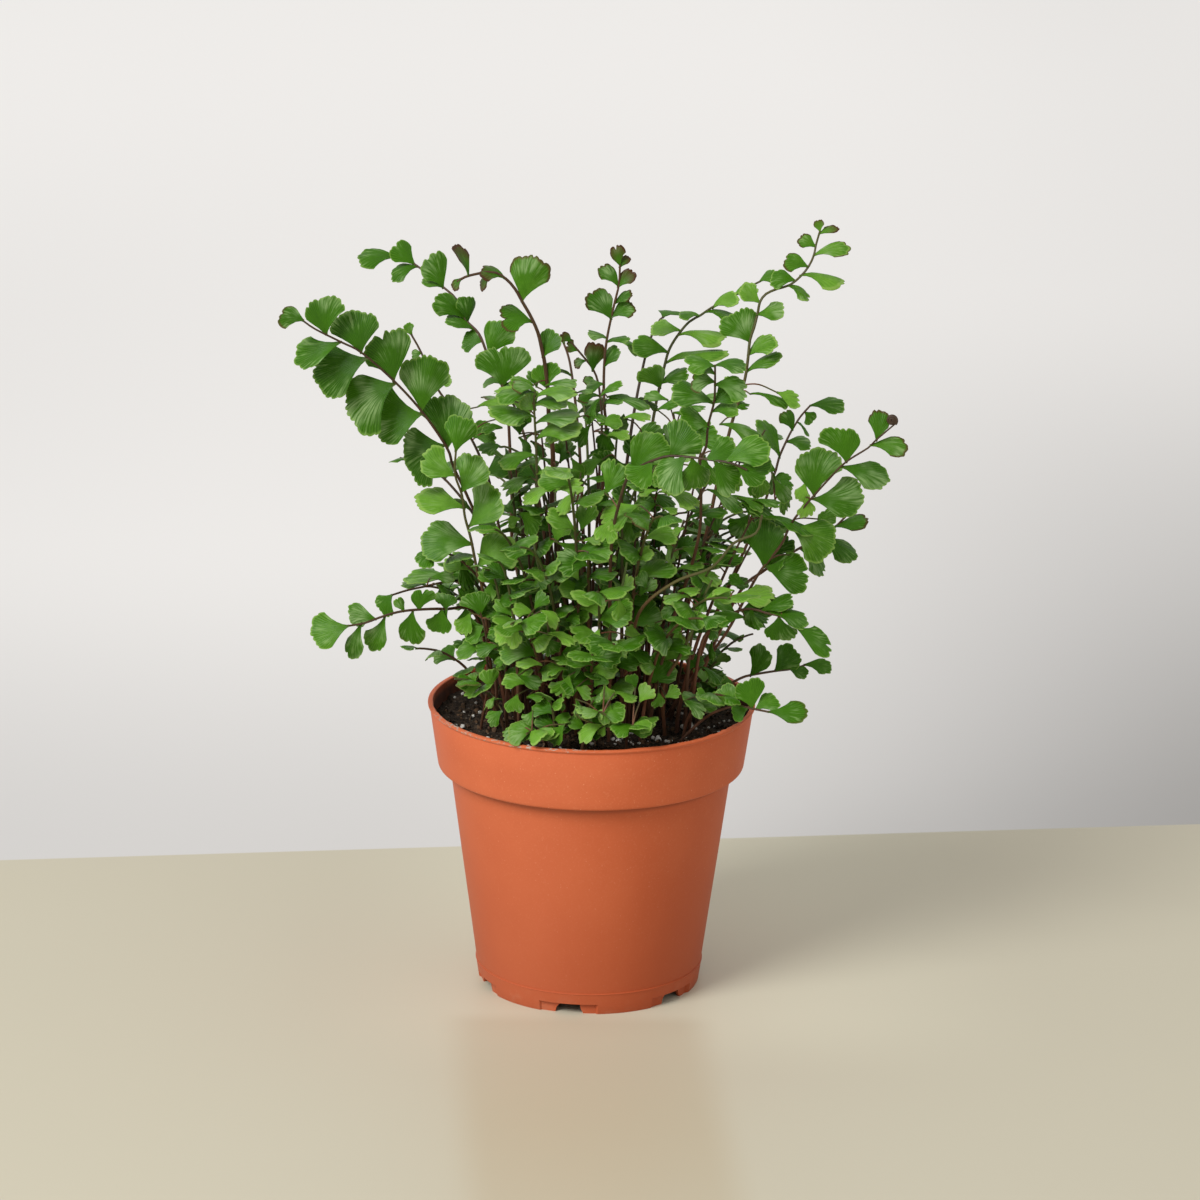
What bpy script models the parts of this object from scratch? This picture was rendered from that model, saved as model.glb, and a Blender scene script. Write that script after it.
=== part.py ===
"""A mahogany fern in a thin nursery pot: the pot, the soil in it, and one solid for each frond."""

import math

import bmesh
import bpy
import numpy as np
from mathutils import Matrix, Vector
from mathutils.bvhtree import BVHTree

for leftover in list(bpy.context.scene.objects):
    bpy.data.objects.remove(leftover, do_unlink=True)

MM = 0.001
GAP = 0.3 * MM

# Pot, turned about Z and standing on its foot ring
POT_HEIGHT = 96.0 * MM
LIP_RADIUS = 53.9 * MM
LIP_HEIGHT = 1.2 * MM
LIP_PROUD = 0.5 * MM
COLLAR_FOOT_RADIUS = 50.2 * MM
COLLAR_FOOT_Z = 75.3 * MM
COLLAR_CHAMFER_RADIUS = 49.5 * MM
COLLAR_CHAMFER_Z = 74.6 * MM
NECK_RADIUS = 46.4 * MM
NECK_Z = 74.2 * MM
BODY_RADIUS = 45.2 * MM
BODY_Z = 65.1 * MM
FOOT_RADIUS = 36.5 * MM
FOOT_WIDTH = 2.0 * MM
WALL = 1.2 * MM
FLOOR_UNDER_Z = 3.4 * MM
FLOOR_Z = 4.6 * MM
TURN_STEPS = 28

# Drainage: six notches round the foot, and a hole in the floor behind each
NOTCH_COUNT = 6
FIRST_NOTCH_DEG = -100.4
RECESS_WIDTH = 18.7 * MM
RECESS_HEIGHT = 3.5 * MM
RECESS_DEPTH = 0.7 * MM
SLOT_WIDTH = 8.4 * MM
SLOT_HEIGHT = 3.0 * MM
DRAIN_RADIUS = 4.0 * MM
DRAIN_CIRCLE = 24.0 * MM
DRAIN_SIDES = 8

# Soil, a low mound a little under the rim
SOIL_CENTRE_Z = 91.5 * MM
SOIL_EDGE_Z = 87.6 * MM
SOIL_EDGE_RADIUS = 51.0 * MM
SOIL_RINGS = (0.0, 20.0, 38.0)
HOLE_DEPTH = 7.0 * MM
HOLE_SIDES = 5

# A frond's route is drawn as it is seen from the front: across and down in view units, and
# then its depth behind the pot's axis in millimetres. The eye looks down at the pot.
EYE = Vector((2.4 * MM, -1444.4 * MM, 553.1 * MM))
EYE_PITCH = math.radians(16.3)
EYE_ROLL = math.radians(0.65)
VIEW_FOCAL = 4600.0
VIEW_CENTRE = 600.0

# Leaflets: a fan on a pointed root, with two or three shallow lobes on its outer edge
BLADE = 0.65 * MM
ROOT_SINK = 0.2 * MM
DEEPEST_ROOT = 0.9 * MM
ROOT_SHARE = 0.22
FAN_HALF_ANGLE = math.radians(42.0)
SHOULDER = 0.26
MARGIN = ((-1.0, 1.0), (-0.66, 1.03), (-0.33, 0.93), (0.0, 1.0), (0.33, 0.93), (0.66, 1.03), (1.0, 1.0))
SMALL_MARGIN = ((-1.0, 1.0), (-0.45, 1.03), (0.0, 0.92), (0.45, 1.03), (1.0, 1.0))
SMALL_LEAF = 12.5 * MM
CLEARANCE = 0.3 * MM
GOLDEN = 0.6180339887
SHARP_ANGLE = math.radians(30.0)

# How far a leaflet droops towards its tip, and how much its sides rise or fall, as shares of
# its length and width: the middle value and the spread
DROOP = 0.10
DROOP_SPREAD = 0.08
CUP_SPREAD = 0.07

# Turn and lift in degrees, and size, that a leaflet tries in order until it is clear of its
# neighbours
TRIES = (
    (0, 0, 1.0), (10, 0, 1.0), (-10, 0, 1.0), (0, 10, 1.0), (0, -10, 1.0),
    (20, 6, 0.95), (-20, -6, 0.95), (12, -16, 0.95), (-12, 16, 0.95), (32, 0, 0.9), (-32, 0, 0.9),
    (0, 24, 0.85), (0, -24, 0.85), (25, 20, 0.8), (-25, -20, 0.8), (0, 0, 0.7), (25, -14, 0.7),
    (-25, 14, 0.7), (45, 10, 0.65), (-45, -10, 0.65), (0, 34, 0.6), (0, -34, 0.6),
)

# Stems, four-sided and thinner towards the tip
TIP_RADIUS = 0.6
STEM_TAPER = 1.3
STEM_SAMPLE = 2.0 * MM
STEM_TOLERANCE = 0.6 * MM
STEM_APART = 0.5 * MM
STEM_COLLAR = 1.5 * MM
WELD = 0.01 * MM

# Bow and drift in millimetres that a stem tries in order until it is clear of the others
BENDS = (
    (0, 0), (2, 0), (-2, 0), (4, 0), (-4, 0), (0, 3), (0, -3), (3, 4), (-3, -4),
    (6, 0), (-6, 0), (5, -5), (-5, 5), (8, 4), (-8, -4), (10, 0), (-10, 0),
)

# The rule for the fronds of the second list: a stem leaves the upright slowly and then leans
# out, and its leaflets stand by turns on either side of its upper part
RULED_SHARES = (0.25, 0.5, 0.75, 0.92, 1.0)
LEAN_POWER = 1.7
RISE_POWER = 0.9
SWAY_DEG = 9.0
RULED_STEM = 0.55
RULED_STEM_PER_HEIGHT = 0.003
FIRST_LEAFLET = 0.34
SPREAD_DEG = 62.0
SPREAD_SWING_DEG = 10.0
FACE_LEAN = 0.55
FACE_SWING = 0.45
FACE_ASIDE = 0.35
LONGEST_AT = 0.575
SHRINK = 1.54
LENGTH_SPREAD = 0.12
WIDTH_SPREAD = 0.15

# Fronds drawn from the front. base is where the stem stands on the soil, in millimetres.
# route holds (across, down, depth). A leaflet is its root and tip in the view, its width
# in view units, and how far its face turns away from the eye in degrees.
DRAWN_FRONDS = [
    dict(name="left_broad", base=(-20, -4), stem=0.85, route=[
        (505, 600, -6), (495, 559, -12), (482, 529, -17), (465, 491, -24), (453, 466, -28), (447, 448, -31),
        (423, 413, -36), (395, 382, -41), (362, 353, -46), (341, 342, -49), (315, 329, -52), (302, 320, -53)],
        leaflets=[
        (441, 448, 402, 459, 62, 0), (421, 415, 370, 423, 62, 5), (393, 386, 342, 404, 62, 5),
        (365, 362, 311, 376, 56, 15), (341, 343, 293, 365, 34, 30), (448, 448, 453, 397, 54, 10),
        (422, 411, 425, 355, 52, -10), (394, 381, 388, 330, 50, 10), (362, 352, 353, 311, 50, -5),
        (327, 333, 317, 298, 42, 10), (302, 320, 281, 310, 28, 30)]),
    dict(name="left_front", base=(-31, -14), stem=0.75, route=[
        (484, 600, -20), (478, 575, -23), (471, 539, -28), (465, 517, -31), (462, 495, -34), (455, 474, -37),
        (456, 450, -39)],
        leaflets=[
        (456, 449, 463, 416, 34, 0), (455, 476, 418, 461, 34, 10), (462, 492, 482, 459, 38, 5),
        (464, 509, 414, 496, 40, 45), (468, 527, 504, 495, 44, 20), (472, 545, 421, 534, 46, 25),
        (477, 567, 508, 534, 44, 10)]),
    dict(name="left_high", base=(-14, 12), stem=0.8, route=[
        (515, 560, 14), (512, 500, 17), (509, 430, 20), (507, 404, 22), (502, 385, 24), (488, 356, 27),
        (479, 334, 30), (465, 319, 33), (456, 299, 36), (443, 287, 39), (429, 275, 42), (408, 260, 46),
        (396, 258, 48)],
        leaflets=[
        (396, 258, 357, 254, 34, 50), (416, 262, 394, 244, 26, 20), (444, 287, 432, 253, 30, 10),
        (418, 266, 389, 272, 26, 50), (441, 288, 421, 280, 14, 45), (464, 319, 438, 292, 26, 20),
        (468, 321, 468, 296, 24, -35), (478, 328, 445, 317, 32, 58), (481, 342, 462, 336, 24, 10),
        (488, 357, 500, 320, 34, 15), (503, 386, 506, 346, 58, 5), (508, 404, 520, 387, 28, 10)]),
    dict(name="left_thin", base=(-24, 5), stem=0.7, route=[
        (505, 571, 8), (499, 527, 6), (491, 492, 4), (488, 477, 3), (472, 440, 2), (448, 404, 3),
        (435, 384, 4), (421, 352, 6), (411, 334, 8)],
        leaflets=[
        (411, 334, 405, 324, 12, 20), (421, 353, 411, 354, 12, 0), (435, 384, 451, 376, 16, 40),
        (470, 437, 492, 424, 36, 35), (486, 474, 508, 462, 34, 45), (488, 480, 462, 478, 30, 50)]),
    dict(name="arching", base=(-8, 4), stem=1.25, tip=0.7, route=[
        (548, 600, 2), (551, 520, 1), (553, 457, 0), (549, 420, 0), (548, 392, -1), (545, 365, -2),
        (542, 350, -3), (538, 333, -4), (531, 317, -5), (523, 303, -6), (515, 289, -7), (506, 279, -8),
        (496, 273, -9), (488, 272, -10), (476, 274, -11), (465, 277, -12), (457, 282, -12)],
        leaflets=[
        (505, 277, 481, 266, 30, 60), (492, 273, 470, 281, 26, 58), (468, 276, 455, 244, 24, 60),
        (460, 280, 451, 288, 14, 40), (525, 300, 532, 255, 42, 0), (532, 322, 500, 313, 36, 42),
        (544, 357, 554, 331, 28, 30), (547, 387, 540, 364, 32, -20)]),
    dict(name="level_tuft", base=(-14, -6), stem=0.75, route=[
        (530, 600, -12), (537, 540, -16), (537, 482, -20), (536, 444, -23), (534, 405, -26), (535, 390, -27)],
        leaflets=[
        (535, 391, 512, 381, 26, 62), (535, 394, 495, 392, 34, 66), (535, 398, 578, 387, 34, 66),
        (534, 404, 568, 398, 28, 58), (534, 410, 523, 396, 26, 10), (535, 418, 488, 410, 36, 60),
        (535, 424, 578, 409, 36, 60), (536, 440, 580, 418, 36, 52), (536, 456, 497, 460, 34, 58),
        (537, 474, 572, 470, 34, 55)]),
    dict(name="middle_high", base=(3, 6), stem=0.85, route=[
        (600, 560, 8), (603, 480, 9), (606, 430, 10), (604, 402, 10), (604, 370, 11), (606, 345, 11),
        (610, 323, 12), (615, 301, 12), (619, 284, 13), (620, 264, 13)],
        leaflets=[
        (620, 265, 612, 246, 16, 0), (620, 267, 628, 254, 12, 20), (619, 287, 632, 269, 16, 20),
        (617, 286, 606, 262, 18, 20), (615, 304, 631, 290, 14, 40), (612, 317, 631, 300, 20, 20),
        (611, 319, 596, 289, 28, 5), (606, 339, 588, 330, 20, 66), (606, 343, 629, 337, 20, 66),
        (605, 367, 616, 346, 20, 42), (604, 384, 585, 390, 24, 58)]),
    dict(name="middle_curled", base=(-2, 15), stem=0.7, route=[
        (596, 540, 18), (600, 460, 22), (602, 420, 24), (600, 396, 26), (598, 382, 27), (593, 369, 28),
        (582, 355, 29), (570, 341, 30)],
        leaflets=[
        (570, 341, 562, 332, 12, 20), (594, 370, 595, 342, 22, 5), (577, 350, 565, 347, 14, 10),
        (586, 360, 573, 363, 12, 20), (598, 386, 583, 378, 14, 45), (600, 396, 577, 395, 18, 56)]),
    dict(name="right_high_low", base=(12, 12), stem=0.85, route=[
        (640, 560, 18), (650, 480, 24), (652, 430, 28), (655, 409, 30), (659, 389, 32), (664, 368, 34),
        (669, 350, 36), (678, 335, 38), (689, 322, 40), (701, 315, 42), (711, 308, 43), (728, 299, 45),
        (745, 289, 47), (761, 281, 49)],
        leaflets=[
        (668, 353, 621, 350, 34, 60), (681, 331, 649, 330, 34, 60), (699, 316, 678, 313, 24, 66),
        (678, 336, 727, 332, 30, 62), (665, 364, 728, 349, 34, 64), (705, 312, 739, 315, 28, 66),
        (713, 307, 737, 292, 28, 60), (659, 388, 652, 364, 30, 0), (660, 384, 687, 368, 28, 52),
        (735, 295, 757, 283, 26, 58), (761, 281, 776, 272, 24, 58)]),
    dict(name="right_highest", base=(22, 4), stem=0.9, route=[
        (700, 560, 4), (718, 480, 4), (730, 430, 5), (738, 403, 5), (745, 379, 6), (748, 359, 6),
        (750, 340, 7), (754, 328, 7), (758, 312, 8), (760, 302, 8), (766, 294, 9), (777, 289, 10),
        (790, 285, 11), (801, 276, 12), (809, 266, 13), (814, 255, 13), (816, 245, 14), (820, 231, 14)],
        leaflets=[
        (820, 231, 817, 220, 11, 0), (820, 234, 838, 227, 12, 38), (816, 247, 800, 236, 16, 20),
        (814, 256, 850, 243, 20, 42), (808, 267, 785, 256, 22, 25), (801, 277, 846, 278, 26, 58),
        (788, 287, 812, 296, 20, 56), (795, 281, 771, 274, 26, 40), (760, 303, 740, 287, 24, 30),
        (757, 315, 786, 312, 26, 42), (750, 342, 733, 312, 42, 5), (748, 356, 774, 334, 26, 42),
        (746, 374, 779, 350, 22, 55), (740, 398, 722, 380, 28, 40)]),
    dict(name="right_middle", base=(14, -10), stem=0.8, route=[
        (680, 600, -16), (698, 540, -22), (701, 500, -27), (700, 462, -31), (706, 447, -33), (708, 426, -35),
        (714, 402, -38), (715, 383, -40), (715, 365, -42)],
        leaflets=[
        (715, 367, 685, 361, 30, 52), (715, 366, 747, 363, 30, 56), (715, 374, 697, 359, 24, 58),
        (715, 382, 691, 377, 24, 20), (713, 404, 673, 384, 34, 42), (715, 385, 749, 385, 32, 36),
        (714, 403, 736, 387, 28, 20), (712, 412, 738, 404, 28, 52), (708, 427, 680, 413, 30, 36)]),
    dict(name="right_arch", base=(6, -16), stem=0.8, route=[
        (610, 600, -28), (612, 540, -36), (620, 500, -42), (629, 475, -46), (641, 466, -49), (657, 459, -52),
        (670, 456, -54), (689, 457, -57), (711, 460, -59), (731, 463, -61), (747, 470, -62)],
        leaflets=[
        (670, 456, 694, 428, 44, 0), (632, 473, 656, 431, 44, 0), (686, 457, 656, 484, 40, 15),
        (692, 457, 699, 494, 38, 10), (714, 461, 735, 493, 32, 10), (706, 460, 736, 446, 32, 10),
        (725, 462, 768, 440, 34, 32), (738, 466, 767, 481, 36, 10), (746, 470, 762, 498, 30, 40),
        (652, 461, 636, 489, 34, 20)]),
    dict(name="right_behind", base=(28, 13), stem=0.75, route=[
        (740, 560, 20), (762, 510, 24), (772, 480, 26), (776, 470, 27), (779, 458, 28), (785, 444, 29),
        (792, 430, 31), (801, 416, 32), (810, 406, 33)],
        leaflets=[
        (810, 406, 846, 403, 26, 48), (805, 412, 815, 421, 16, 10), (797, 422, 827, 429, 20, 62),
        (786, 442, 812, 438, 24, 48), (779, 458, 758, 420, 30, 52), (792, 430, 787, 409, 20, 35),
        (776, 471, 757, 462, 30, 40), (771, 484, 792, 476, 30, 45)]),
    dict(name="right_outer", base=(24, -6), stem=0.9, knob=1.5, route=[
        (702, 664, -9), (717, 646, -10), (731, 625, -11), (751, 587, -13), (762, 569, -14), (781, 545, -16),
        (788, 530, -17), (795, 518, -18), (811, 499, -20), (829, 479, -22), (846, 462, -24), (868, 448, -26),
        (875, 441, -27), (895, 424, -28)],
        leaflets=[
        (876, 440, 883, 411, 22, 0), (871, 446, 909, 444, 24, 32), (846, 462, 846, 426, 42, 0),
        (841, 467, 892, 478, 32, 25), (814, 496, 811, 448, 48, 0), (812, 499, 865, 503, 42, 10),
        (790, 527, 837, 546, 46, 5), (765, 566, 809, 580, 42, 5), (764, 567, 765, 520, 44, -15)]),
    dict(name="right_inner", base=(31, 4), stem=0.75, route=[
        (735, 600, 8), (765, 570, 12), (800, 548, 16), (829, 532, 20), (846, 516, 22), (852, 508, 23)],
        leaflets=[
        (832, 530, 822, 511, 22, 0), (834, 528, 870, 522, 24, 48), (820, 538, 860, 556, 26, 32),
        (800, 549, 829, 571, 24, 42), (851, 509, 858, 497, 14, 20)]),
    dict(name="low_left", base=(-34, -2), stem=0.75, route=[
        (487, 660, -6), (480, 625, -9), (468, 608, -12), (448, 609, -16), (431, 609, -20), (404, 611, -25),
        (384, 616, -29), (365, 623, -32), (348, 626, -34)],
        leaflets=[
        (348, 626, 310, 637, 38, 10), (376, 620, 348, 611, 24, 5), (362, 624, 347, 660, 20, 20),
        (385, 616, 373, 654, 24, 10), (413, 611, 406, 644, 28, 0), (404, 611, 397, 598, 12, 20),
        (419, 610, 419, 589, 26, 10), (445, 609, 447, 594, 26, 10), (442, 609, 440, 635, 28, 15),
        (466, 609, 463, 637, 28, 10)]),
    dict(name="left_swept", base=(-29, 10), stem=0.7, route=[
        (492, 640, 6), (484, 595, 3), (470, 582, 0), (452, 581, -3), (435, 584, -6), (427, 586, -8),
        (408, 590, -11), (392, 595, -14)],
        leaflets=[
        (392, 595, 378, 611, 28, 30), (455, 581, 402, 577, 34, 62), (428, 586, 391, 587, 28, 64),
        (472, 584, 446, 560, 26, 48), (466, 581, 461, 558, 28, 30), (440, 583, 447, 603, 24, 30)]),
    dict(name="left_hooked", base=(-36, -13), stem=0.6, route=[
        (489, 680, -17), (487, 660, -19), (487, 643, -21), (484, 625, -23), (480, 612, -25)],
        leaflets=[
        (487, 643, 454, 656, 30, 52), (488, 661, 474, 669, 14, 40), (486, 637, 509, 629, 36, 20),
        (484, 626, 464, 641, 30, 15), (480, 612, 476, 592, 32, 10), (488, 655, 508, 656, 30, 30)]),
    dict(name="low_right", base=(36, 3), stem=0.6, route=[
        (715, 694, 2), (728, 685, 4), (741, 678, 5), (751, 675, 6), (775, 671, 8), (792, 669, 10),
        (805, 665, 12)],
        leaflets=[
        (750, 675, 771, 650, 26, 10), (775, 671, 796, 649, 30, 10), (805, 665, 833, 664, 18, 30),
        (789, 669, 808, 677, 14, 20), (732, 683, 708, 672, 24, 40)]),
    dict(name="right_swept", base=(32, -13), stem=0.7, route=[
        (700, 650, -15), (712, 628, -17), (735, 612, -20), (752, 609, -23), (766, 613, -25), (782, 617, -27),
        (796, 627, -29)],
        leaflets=[
        (796, 627, 832, 652, 26, 20), (779, 616, 779, 643, 34, 0), (769, 613, 810, 618, 30, 56),
        (761, 611, 795, 600, 24, 48), (742, 610, 775, 593, 32, 32), (734, 612, 714, 599, 24, 40),
        (752, 610, 748, 629, 24, 30)]),
    dict(name="right_over_rim", base=(29, -25), stem=0.6, route=[
        (700, 722, -27), (715, 712, -30), (735, 706, -33), (754, 709, -36), (769, 712, -38)],
        leaflets=[
        (735, 706, 718, 687, 26, 5), (752, 709, 750, 679, 32, 0), (748, 708, 731, 714, 20, 20),
        (756, 709, 776, 693, 24, 10), (769, 712, 809, 716, 26, 30)]),
]

# Fronds placed by rule: azimuth from +X in degrees, base radius, reach from the axis and height
# over the soil in millimetres, how many leaflets, and the length of the longest
RULED_FRONDS = [
    dict(name="front_tall", at=(-102, 18, 50, 98), leaflets=7, leaf=12),
    dict(name="front_right_tall", at=(-58, 20, 52, 84), leaflets=7, leaf=12),
    dict(name="front_left_tall", at=(-134, 22, 54, 78), leaflets=7, leaf=12),
    dict(name="front_middle", at=(-84, 26, 58, 62), leaflets=6, leaf=11.5),
    dict(name="front_left", at=(-122, 29, 58, 50), leaflets=6, leaf=11),
    dict(name="front_right", at=(-48, 28, 60, 56), leaflets=6, leaf=11.5),
    dict(name="side_left", at=(-162, 25, 60, 66), leaflets=6, leaf=11.5),
    dict(name="side_right", at=(-4, 17, 62, 70), leaflets=6, leaf=11.5),
    dict(name="back_right_tall", at=(62, 14, 58, 126), leaflets=6, leaf=13),
    dict(name="back_tall", at=(96, 20, 58, 118), leaflets=6, leaf=13),
    dict(name="back_left_tall", at=(128, 20, 66, 104), leaflets=6, leaf=13),
    dict(name="back_left", at=(158, 24, 72, 82), leaflets=5, leaf=12.5),
    dict(name="back_right", at=(34, 25, 70, 88), leaflets=5, leaf=12.5),
    dict(name="back_wide", at=(78, 28, 57, 76), leaflets=5, leaf=12),
    dict(name="back_left_wide", at=(112, 28, 64, 58), leaflets=4, leaf=12),
    dict(name="back_left_low", at=(142, 31, 66, 40), leaflets=4, leaf=10),
    dict(name="back_right_low", at=(50, 31, 66, 46), leaflets=4, leaf=11),
    dict(name="back_low", at=(88, 35, 58, 26), leaflets=4, leaf=9),
    dict(name="low_front", at=(-93, 33, 51, 20), leaflets=6, leaf=8.5),
    dict(name="low_front_left", at=(-112, 37, 54, 13), leaflets=6, leaf=8.5),
    dict(name="low_front_right", at=(-72, 37, 54, 16), leaflets=6, leaf=8.5),
    dict(name="low_side_left", at=(-140, 36, 52, 24), leaflets=6, leaf=8.5),
    dict(name="low_side_right", at=(-36, 37, 56, 22), leaflets=5, leaf=8.5),
    dict(name="low_back_left", at=(172, 35, 58, 26), leaflets=4, leaf=8),
    dict(name="low_back_right", at=(18, 36, 60, 24), leaflets=4, leaf=8),
    dict(name="inner_left", at=(-150, 11, 30, 70), leaflets=6, leaf=10.5),
    dict(name="inner_right", at=(-25, 10, 32, 76), leaflets=6, leaf=10.5),
]


def make_material(name, colour, roughness):
    material = bpy.data.materials.new(name)
    material.use_nodes = True
    shader = material.node_tree.nodes["Principled BSDF"]
    shader.inputs["Base Color"].default_value = (*colour, 1.0)
    shader.inputs["Roughness"].default_value = roughness
    shader.inputs["Metallic"].default_value = 0.0
    return material


def make_collection(name):
    collection = bpy.data.collections.new(name)
    bpy.context.scene.collection.children.link(collection)
    return collection


def link_mesh(name, bm, collection, material=None):
    mesh = bpy.data.meshes.new(name)
    bm.to_mesh(mesh)
    bm.free()
    piece = bpy.data.objects.new(name, mesh)
    collection.objects.link(piece)
    if material:
        mesh.materials.append(material)
    return piece


def turned(name, profile, collection, material):
    """Turns a profile in the XZ plane about Z with a Screw modifier."""
    mesh = bpy.data.meshes.new(name)
    edges = [(i, i + 1) for i in range(len(profile) - 1)]
    mesh.from_pydata([(radius, 0.0, height) for radius, height in profile], edges, [])
    piece = bpy.data.objects.new(name, mesh)
    collection.objects.link(piece)
    mesh.materials.append(material)
    screw = piece.modifiers.new("turn", "SCREW")
    screw.axis = "Z"
    screw.angle = math.tau
    screw.steps = TURN_STEPS
    screw.render_steps = TURN_STEPS
    screw.use_merge_vertices = True
    screw.merge_threshold = 0.00005
    return piece


def as_cutter(piece):
    piece.hide_render = True
    piece.display_type = "WIRE"
    return piece


def cut_with(piece, cutters):
    cut = piece.modifiers.new("cut", "BOOLEAN")
    cut.operation = "DIFFERENCE"
    cut.operand_type = "COLLECTION"
    cut.collection = cutters
    cut.solver = "EXACT"


def ring_sector(name, inner, outer, low, high, middle_deg, width, collection):
    """A block bent round Z: a rectangle spun through the angle that gives its width."""
    bm = bmesh.new()
    span = width / outer
    start = math.radians(middle_deg) - span / 2
    corners = [(inner, low), (outer, low), (outer, high), (inner, high)]
    verts = [bm.verts.new((r * math.cos(start), r * math.sin(start), z)) for r, z in corners]
    face = bm.faces.new(verts)
    bmesh.ops.spin(bm, geom=[face, *face.edges, *face.verts], cent=(0, 0, 0), axis=(0, 0, 1),
                   angle=span, steps=2, use_duplicate=False)
    bmesh.ops.recalc_face_normals(bm, faces=bm.faces)
    return as_cutter(link_mesh(name, bm, collection))


def post(name, radius, sides, low, high, x, y, collection):
    bm = bmesh.new()
    bmesh.ops.create_cone(bm, cap_ends=True, segments=sides, radius1=radius, radius2=radius, depth=high - low)
    bmesh.ops.translate(bm, verts=bm.verts, vec=(x, y, (low + high) / 2))
    return as_cutter(link_mesh(name, bm, collection))


def wall_radius(height):
    """Outer radius of the pot's tapering body at a height."""
    share = height / BODY_Z
    return FOOT_RADIUS + (BODY_RADIUS - FOOT_RADIUS) * share


def inner_wall():
    """The pot's inner face from the floor to the lip, as (radius, height)."""
    return [
        (wall_radius(FLOOR_Z) - WALL, FLOOR_Z),
        (BODY_RADIUS - WALL, BODY_Z),
        (NECK_RADIUS - WALL, NECK_Z + WALL),
        (COLLAR_FOOT_RADIUS - WALL, COLLAR_FOOT_Z + WALL),
        (LIP_RADIUS - LIP_PROUD - WALL, POT_HEIGHT),
    ]


def make_pot(collection, cutters, material):
    inner = [(0.0, FLOOR_Z), *inner_wall()]
    outer = [
        (LIP_RADIUS, POT_HEIGHT),
        (LIP_RADIUS, POT_HEIGHT - LIP_HEIGHT),
        (LIP_RADIUS - LIP_PROUD, POT_HEIGHT - LIP_HEIGHT - LIP_PROUD),
        (COLLAR_FOOT_RADIUS, COLLAR_FOOT_Z),
        (COLLAR_CHAMFER_RADIUS, COLLAR_CHAMFER_Z),
        (NECK_RADIUS, NECK_Z),
        (BODY_RADIUS, BODY_Z),
        (FOOT_RADIUS, 0.0),
        (FOOT_RADIUS - FOOT_WIDTH, 0.0),
        (FOOT_RADIUS - FOOT_WIDTH, FLOOR_UNDER_Z),
        (0.0, FLOOR_UNDER_Z),
    ]
    pot = turned("pot", inner + outer, collection, material)
    for number in range(NOTCH_COUNT):
        angle = FIRST_NOTCH_DEG + number * 360.0 / NOTCH_COUNT
        ring_sector(f"recess_{number}", FOOT_RADIUS - RECESS_DEPTH, FOOT_RADIUS + FOOT_WIDTH, -MM,
                    RECESS_HEIGHT, angle, RECESS_WIDTH, cutters)
        ring_sector(f"slot_{number}", FOOT_RADIUS - 2 * FOOT_WIDTH, FOOT_RADIUS + FOOT_WIDTH, -2 * MM,
                    SLOT_HEIGHT, angle, SLOT_WIDTH, cutters)
        turn = math.radians(angle)
        post(f"drain_{number}", DRAIN_RADIUS, DRAIN_SIDES, 0.0, 2 * FLOOR_Z, DRAIN_CIRCLE * math.cos(turn),
             DRAIN_CIRCLE * math.sin(turn), cutters)
    cut_with(pot, cutters)
    return pot


def soil_height(radius):
    """Height of the mounded soil at a distance from the axis."""
    share = min(radius / SOIL_EDGE_RADIUS, 1.0)
    return SOIL_CENTRE_Z + (SOIL_EDGE_Z - SOIL_CENTRE_Z) * share ** 2


def make_soil(stem_feet, collection, cutters, material):
    """stem_feet holds (x, y, radius) of every stem at the soil."""
    wall = [(radius - GAP, height) for radius, height in inner_wall()]
    foot, body, neck, collar, lip = wall
    share = (SOIL_EDGE_Z - collar[1]) / (lip[1] - collar[1])
    edge = (collar[0] + (lip[0] - collar[0]) * share, SOIL_EDGE_Z)
    top = [(ring * MM, soil_height(ring * MM)) for ring in SOIL_RINGS]
    profile = [*top, edge, collar, neck, body, (foot[0], foot[1] + GAP), (0.0, foot[1] + GAP)]
    soil = turned("soil", profile, collection, material)
    for number, (x, y, radius) in enumerate(stem_feet):
        level = soil_height(math.hypot(x, y))
        post(f"stem_hole_{number:02d}", radius + 2 * GAP, HOLE_SIDES, level - HOLE_DEPTH, level + 4 * MM,
             x, y, cutters)
    cut_with(soil, cutters)
    return soil


def view_ray(across, down):
    """Direction in which the eye sees a point of the view, one unit long along its axis."""
    right = across - VIEW_CENTRE
    up = VIEW_CENTRE - down
    level_right = right * math.cos(EYE_ROLL) - up * math.sin(EYE_ROLL)
    level_up = right * math.sin(EYE_ROLL) + up * math.cos(EYE_ROLL)
    forward = Vector((0.0, math.cos(EYE_PITCH), -math.sin(EYE_PITCH)))
    upward = Vector((0.0, math.sin(EYE_PITCH), math.cos(EYE_PITCH)))
    return forward + (Vector((1.0, 0.0, 0.0)) * level_right + upward * level_up) / VIEW_FOCAL


def seen_at(across, down, depth):
    """The point at this depth, in metres, that is seen at (across, down)."""
    ray = view_ray(across, down)
    return EYE + ray * ((depth - EYE.y) / ray.y)


def unit_size(point):
    """Metres that one view unit covers at a point."""
    forward = Vector((0.0, math.cos(EYE_PITCH), -math.sin(EYE_PITCH)))
    return (point - EYE).dot(forward) / VIEW_FOCAL


def jitter(number, channel):
    """An even spread from -1 to 1 over the leaflets of the plant."""
    return 2.0 * math.fmod(number * GOLDEN + channel * 0.4142, 1.0) - 1.0


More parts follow.
